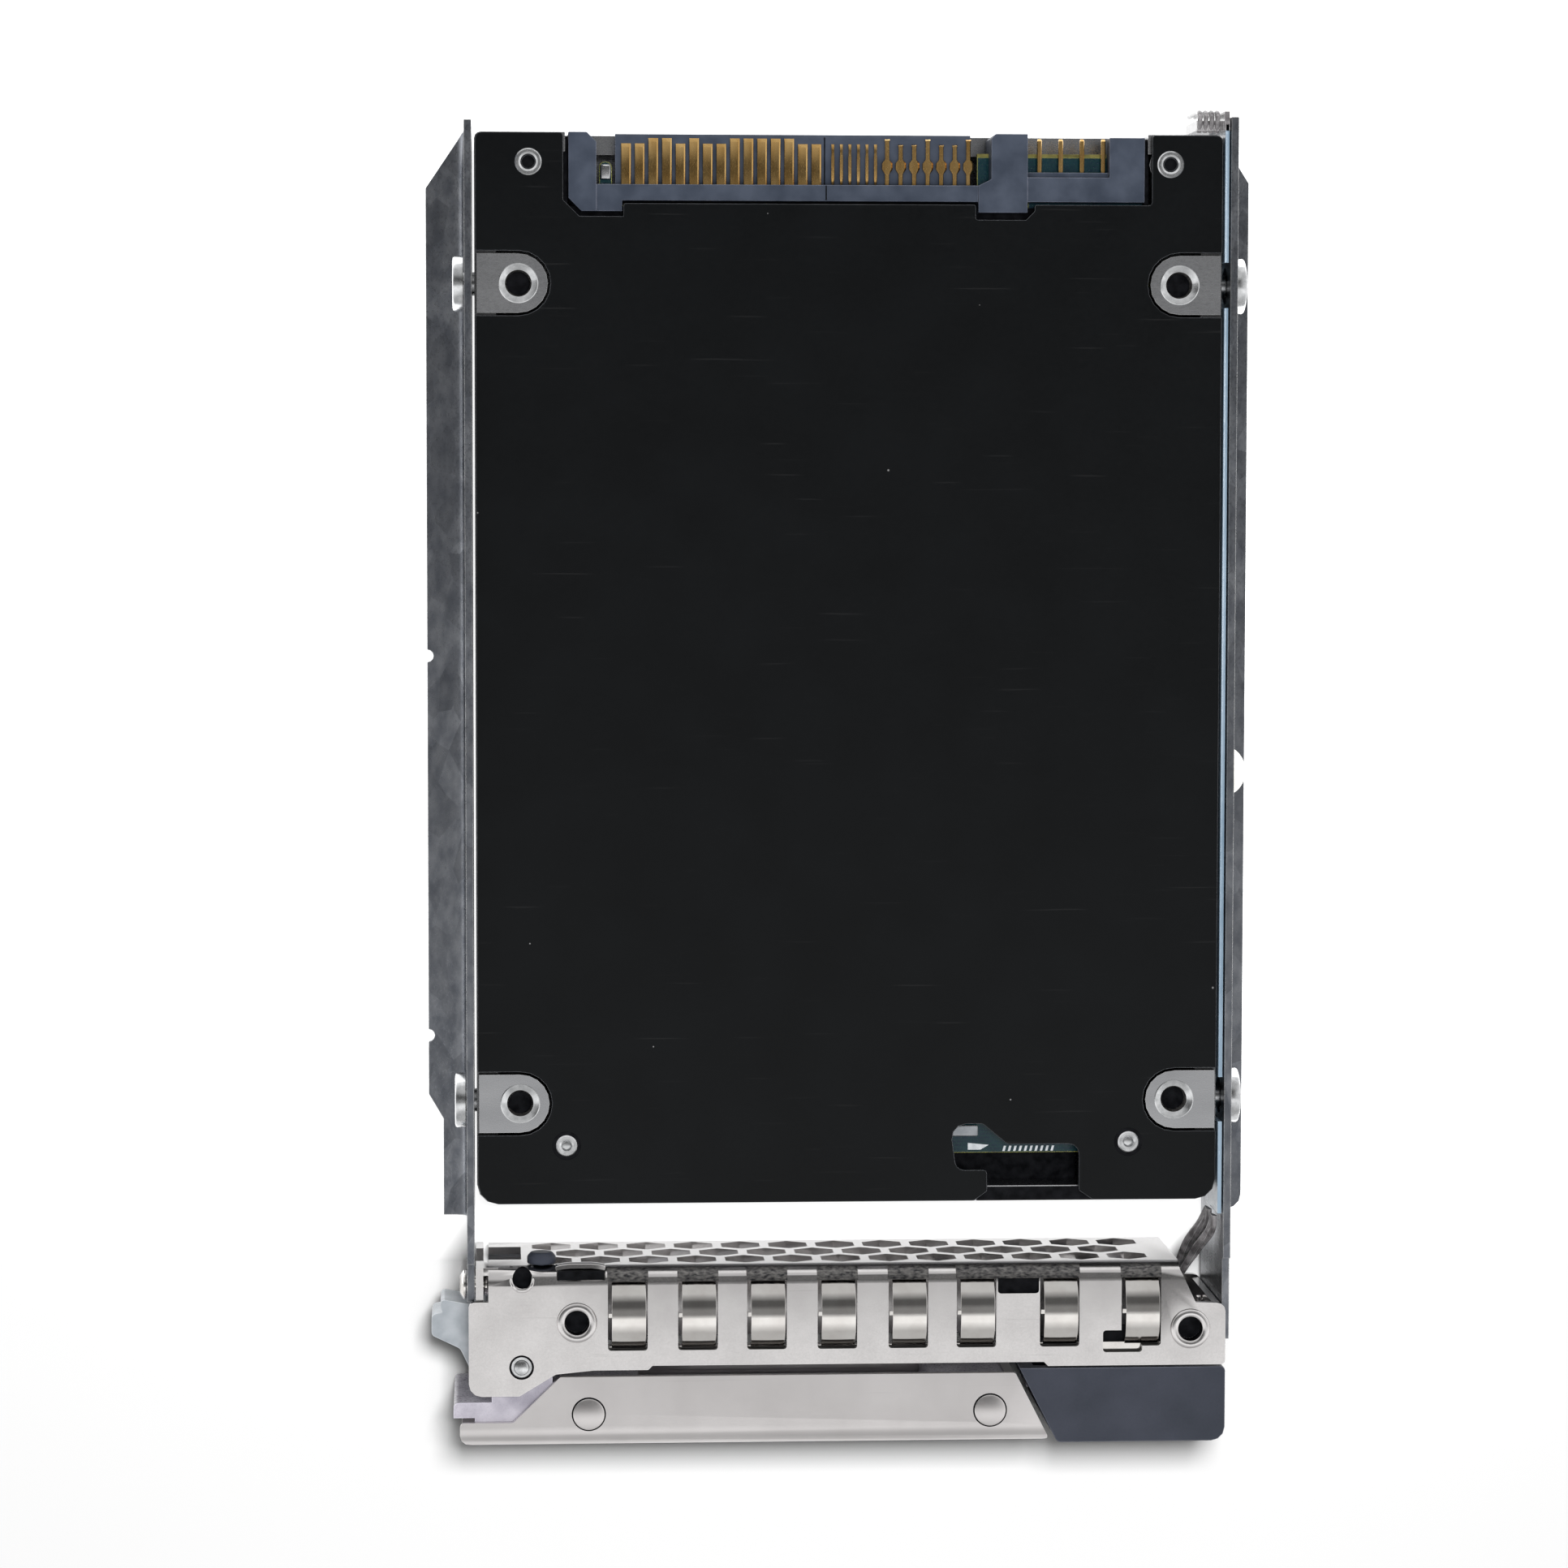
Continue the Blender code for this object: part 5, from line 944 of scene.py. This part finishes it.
# Bumper: a dome on the right rail, with a stud through the rail.
bumperLook = dict(radius=2.5, rise=2.3, lip=0.2, stud=0.9)


def makeBumper():
    look = bumperLook
    y, z = middleOf("rail_bumper")[1:]
    skin = railOuter + 0.02
    dome = [(look["radius"], 0.0), (look["radius"], look["lip"])]
    for step in range(1, 9):
        turn = step * math.pi / 16
        along = look["lip"] + (look["rise"] - look["lip"]) * math.sin(turn)
        dome.append(((look["radius"] - 0.1) * math.cos(turn), along))
    shape = lathe(dome, (skin, y, z), "X", steps=36)
    stud = lathe([(look["stud"], -0.8), (look["stud"], 0.05)], (skin, y, z), "X", steps=20)
    addPiece("bumperDome", merged([shape, stud]), "bumperShell", replaced=["rail_bumper"])


# Light pipe: ribbed head, and flattened strands that curve down and run to the front. Each lead splits into
# the number of strands that leadStrands gives.
pipeLook = dict(ribs=4, ribWire=0.24, pitch=0.55, strandWide=0.32, flatness=0.7, leadStrands=(2, 3))


def makeLightPipe():
    look = pipeLook
    low, high = span("light_pipe_head")
    shapes = []
    for index in range(look["ribs"]):
        x = low.x + 0.35 + index * look["pitch"]
        path = [
            (x, low.y, high.z - 1.0), (x, low.y + 0.8, high.z - 0.35), (x, high.y - 0.5, high.z - 0.3),
            (x, high.y - 0.12, high.z - 1.1), (x, high.y - 0.1, low.z + 0.4),
        ]
        shapes.append(tube(curveThrough(path), look["ribWire"]))
    shapes.append(block((low.x + 0.1, high.x - 0.5), (low.y + 0.1, low.y + 1.0), (low.z, high.z - 0.6)))
    shapes.append(block((high.x - 0.5, high.x), (low.y + 0.05, high.y - 0.05), (low.z, high.z)))
    addPiece("lightPipeHeadRibs", merged(shapes), "pipeClear", replaced=["light_pipe_head"])
    shapes = []
    for number, count in zip((1, 2), look["leadStrands"]):
        low, high = span(f"light_pipe_lead_{number}")
        endX = low.x + 0.5
        endZ = low.z + 0.5
        for strand in range(count):
            shift = strand * look["pitch"]
            path = [
                (high.x - 0.45, high.y - 0.3, high.z - 0.6 - shift),
                (high.x - 0.55 - 0.3 * strand, high.y - 1.9, high.z - 1.1 - shift),
                (high.x - 1.4 - 0.4 * strand, high.y - 4.2, (high.z + endZ) / 2),
                (endX - 0.2 + 0.1 * strand, high.y - 8.0, endZ + 0.4),
                (endX, high.y - 12.0, endZ), (endX, low.y, endZ),
            ]
            shapes.append(tube(curveThrough(path), look["strandWide"], flat=look["flatness"]))
    addPiece("lightPipeStrands", merged(shapes), "pipeClear",
             replaced=["light_pipe_lead_1", "light_pipe_lead_2"])


# Springs, wound smoothly. The button's spring has closed ends.
springLook = dict(
    wire=0.2, radius=2.75, pitch=0.55, turns=3, coilSteps=28, wireSides=8, buttonWire=0.16, buttonTurns=4.5,
    closedEnd=0.12,
)


def makeSprings():
    look = springLook
    x, y = middleOf("pivot_pin")[:2]
    path = [(x + 4.2, y - 2.95, 1.3), (x + 1.6, y - 2.9, 1.3)]
    for step in range(look["turns"] * look["coilSteps"] + 1):
        turn = -math.pi / 2 + math.tau * step / look["coilSteps"]
        lift = look["pitch"] * step / look["coilSteps"]
        path.append((x + look["radius"] * math.cos(turn), y + look["radius"] * math.sin(turn), 1.35 + lift))
    coil = tube(path, look["wire"], look["wireSides"])
    addPiece("leverSpringCoil", coil, "springSteel", replaced=["lever_spring"])
    low, high = span("button_spring")
    x, _, z = middleOf("button_spring")
    radius = (high.x - low.x) / 2 - look["buttonWire"]
    total = int(look["buttonTurns"] * look["coilSteps"])
    path = []
    for step in range(total + 1):
        turn = math.tau * step / look["coilSteps"]
        share = min(max((step / total - look["closedEnd"]) / (1 - 2 * look["closedEnd"]), 0.0), 1.0)
        along = low.y + look["buttonWire"] + (high.y - low.y - 2 * look["buttonWire"]) * share
        path.append((x + radius * math.cos(turn), along, z + radius * math.sin(turn)))
    coil = tube(path, look["buttonWire"], look["wireSides"])
    piece = addPiece("buttonSpringCoil", coil, "springSteel", body=None,
                     replaced=["button_spring"])
    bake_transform(piece)


# Label: blank foil with round corners on the drive's other face.
labelLook = dict(sideMargin=4.5, frontMargin=9.0, rearMargin=12.0, corner=2.0)


def makeLabel():
    look = labelLook
    low, high = span("drive_housing")
    corner = look["corner"]
    inX = high.x - look["sideMargin"] - corner
    inFront = low.y + look["frontMargin"] + corner
    inRear = high.y - look["rearMargin"] - corner
    rounded = []
    for x, y, start in ((inX, inRear, 0), (-inX, inRear, 90), (-inX, inFront, 180), (inX, inFront, 270)):
        for step in range(7):
            turn = math.radians(start + 15 * step)
            rounded.append((x + corner * math.cos(turn), y + corner * math.sin(turn)))
    rings = [[(x, y, z) for x, y in rounded] for z in (low.z - 0.08, low.z - 0.005)]
    addPiece("blankLabel", loft(rings), "labelFoil")


# Faces that several pieces stand on: the cover's, the front frame's and its rear wall, and the right rail's.
coverTop = span("drive_cover")[1].z
frameTop = span("lever_plate")[1].z
wallY = span("front_frame")[1].y
bendRadius = 1.7  # of the bend between the frame's top and its rear wall
railOuter = span("right_rail")[0].x + 0.7

makeContacts()
makeConnectorDetail()
makeCoverScrews()
makePadThreads()
makeDebugDetail()
print("connector, screws and drive details made")
makeFingers()
makeFingerRoots()
makeBiteLip()
makeRaisedTab()
makeEyelets()
makePivotHead()
makeLeverRivets()
print("front frame and lever details made")
makeRailScrews()
makeBumper()
makeLightPipe()
makeSprings()
makeLabel()
print("rail, light pipe and spring details made")

# A level pale floor, a soft key almost overhead, a lamp for the floor alone that throws the shadow forward,
# and a room that is brighter towards the front and near the horizon than straight above.
studio = dict(
    floorSize=2.4, floorColour=(0.12, 0.12, 0.12), glow=0.85, overhead=0.24, horizon=1.0, front=1.08,
    right=0.8, keyPower=4.2, keySize=0.16, keyPlace=(0.01, 0.035, 0.56), floorPower=23.0,
    floorLightSize=0.10, floorLightPlace=(0.01, 0.10, 0.55),
)


def makeFloor():
    bpy.ops.mesh.primitive_plane_add(size=studio["floorSize"], location=(0, 0, cadBounds[0][2] - 0.00002))
    floor = bpy.context.object
    floor.name = "floor"
    material = bpy.data.materials.new("paleFloor")
    material.use_nodes = True
    shader = material.node_tree.nodes["Principled BSDF"]
    shader.inputs["Base Color"].default_value = (*studio["floorColour"], 1)
    shader.inputs["Roughness"].default_value = 0.9
    shader.inputs["Specular IOR Level"].default_value = 0.1
    shader.inputs["Emission Color"].default_value = (1, 1, 1, 1)
    # painted light: the floor glows behind the carrier's front wall only, so shadows stay in front
    tree = material.node_tree
    split = newNode(tree, "ShaderNodeSeparateXYZ")
    tree.links.new(newNode(tree, "ShaderNodeNewGeometry").outputs["Position"], split.inputs[0])
    frontLine = at(0.0, wallY, 0.0).y
    glow = mapRange(tree, split.outputs["Y"], frontLine - 0.002, frontLine + 0.002, 0.0, studio["glow"])
    tree.links.new(glow, shader.inputs["Emission Strength"])
    floor.data.materials.append(material)
    return floor


def makeLight(name, position, size, power):
    data = bpy.data.lights.new(name, "AREA")
    data.size = size
    data.energy = power
    light = bpy.data.objects.new(name, data)
    light.location = position
    light.rotation_euler = (-Vector(position)).to_track_quat("-Z", "Y").to_euler()
    light.visible_glossy = False
    bpy.context.scene.collection.objects.link(light)
    return light


def makeRoom(floor):
    world = bpy.data.worlds.new("studio")
    world.use_nodes = True
    tree = world.node_tree
    background = tree.nodes["Background"]
    split = newNode(tree, "ShaderNodeSeparateXYZ")
    tree.links.new(newNode(tree, "ShaderNodeTexCoord").outputs["Generated"], split.inputs[0])
    horizon = mapRange(tree, split.outputs["Z"], 0.60, 0.22, 0.0, studio["horizon"])
    front = mapRange(tree, split.outputs["Y"], -0.03, -0.20, 0.0, studio["front"])
    right = mapRange(tree, split.outputs["X"], 0.28, 0.65, 0.0, studio["right"])
    brightest = combine(tree, "MAXIMUM", combine(tree, "MAXIMUM", horizon, front), right)
    fading = mapRange(tree, split.outputs["Y"], -0.45, -0.80, 1.0, 0.5)
    # a dark band just behind overhead, with a paler wall beyond it
    ceiling = mapRange(tree, split.outputs["Y"], 0.08, 0.20, studio["overhead"], 0.4 * studio["overhead"])
    ceiling = combine(tree, "ADD", ceiling, mapRange(tree, split.outputs["Y"], 0.36, 0.60, 0.0, 0.5))
    level = combine(tree, "MAXIMUM", combine(tree, "MULTIPLY", brightest, fading), ceiling)
    background.inputs["Color"].default_value = (1.0, 1.0, 1.0, 1)
    tree.links.new(level, background.inputs["Strength"])
    bpy.context.scene.world = world
    makeLight("key", studio["keyPlace"], studio["keySize"], studio["keyPower"])
    lit = bpy.data.collections.new("floorOnly")
    lit.objects.link(floor)
    lamp = makeLight("floorLight", studio["floorLightPlace"], studio["floorLightSize"], studio["floorPower"])
    lamp.light_linking.receiver_collection = lit
    bpy.context.scene.view_settings.view_transform = "Standard"


# The camera looks almost straight down from a little to the left of the middle.
lens = dict(height=450.0, side=-33.3, along=-28.8, tilt=-4.04, lean=-3.45, roll=0.08, focal=110.8)


def makeCamera():
    data = bpy.data.cameras.new("camera")
    data.lens = lens["focal"]
    data.sensor_width = 36
    data.clip_start = 0.02
    camera = bpy.data.objects.new("camera", data)
    turns = [
        Matrix.Rotation(math.radians(lens["roll"]), 3, "Z"),
        Matrix.Rotation(math.radians(lens["lean"]), 3, "Y"),
        Matrix.Rotation(math.radians(lens["tilt"]), 3, "X"),
    ]
    camera.rotation_euler = (turns[0] @ turns[1] @ turns[2]).to_euler()
    camera.location = at(lens["side"], lens["along"], coverTop + lens["height"])
    bpy.context.scene.collection.objects.link(camera)
    bpy.context.scene.camera = camera


makeRoom(makeFloor())
makeCamera()
print("floor, room and camera set")
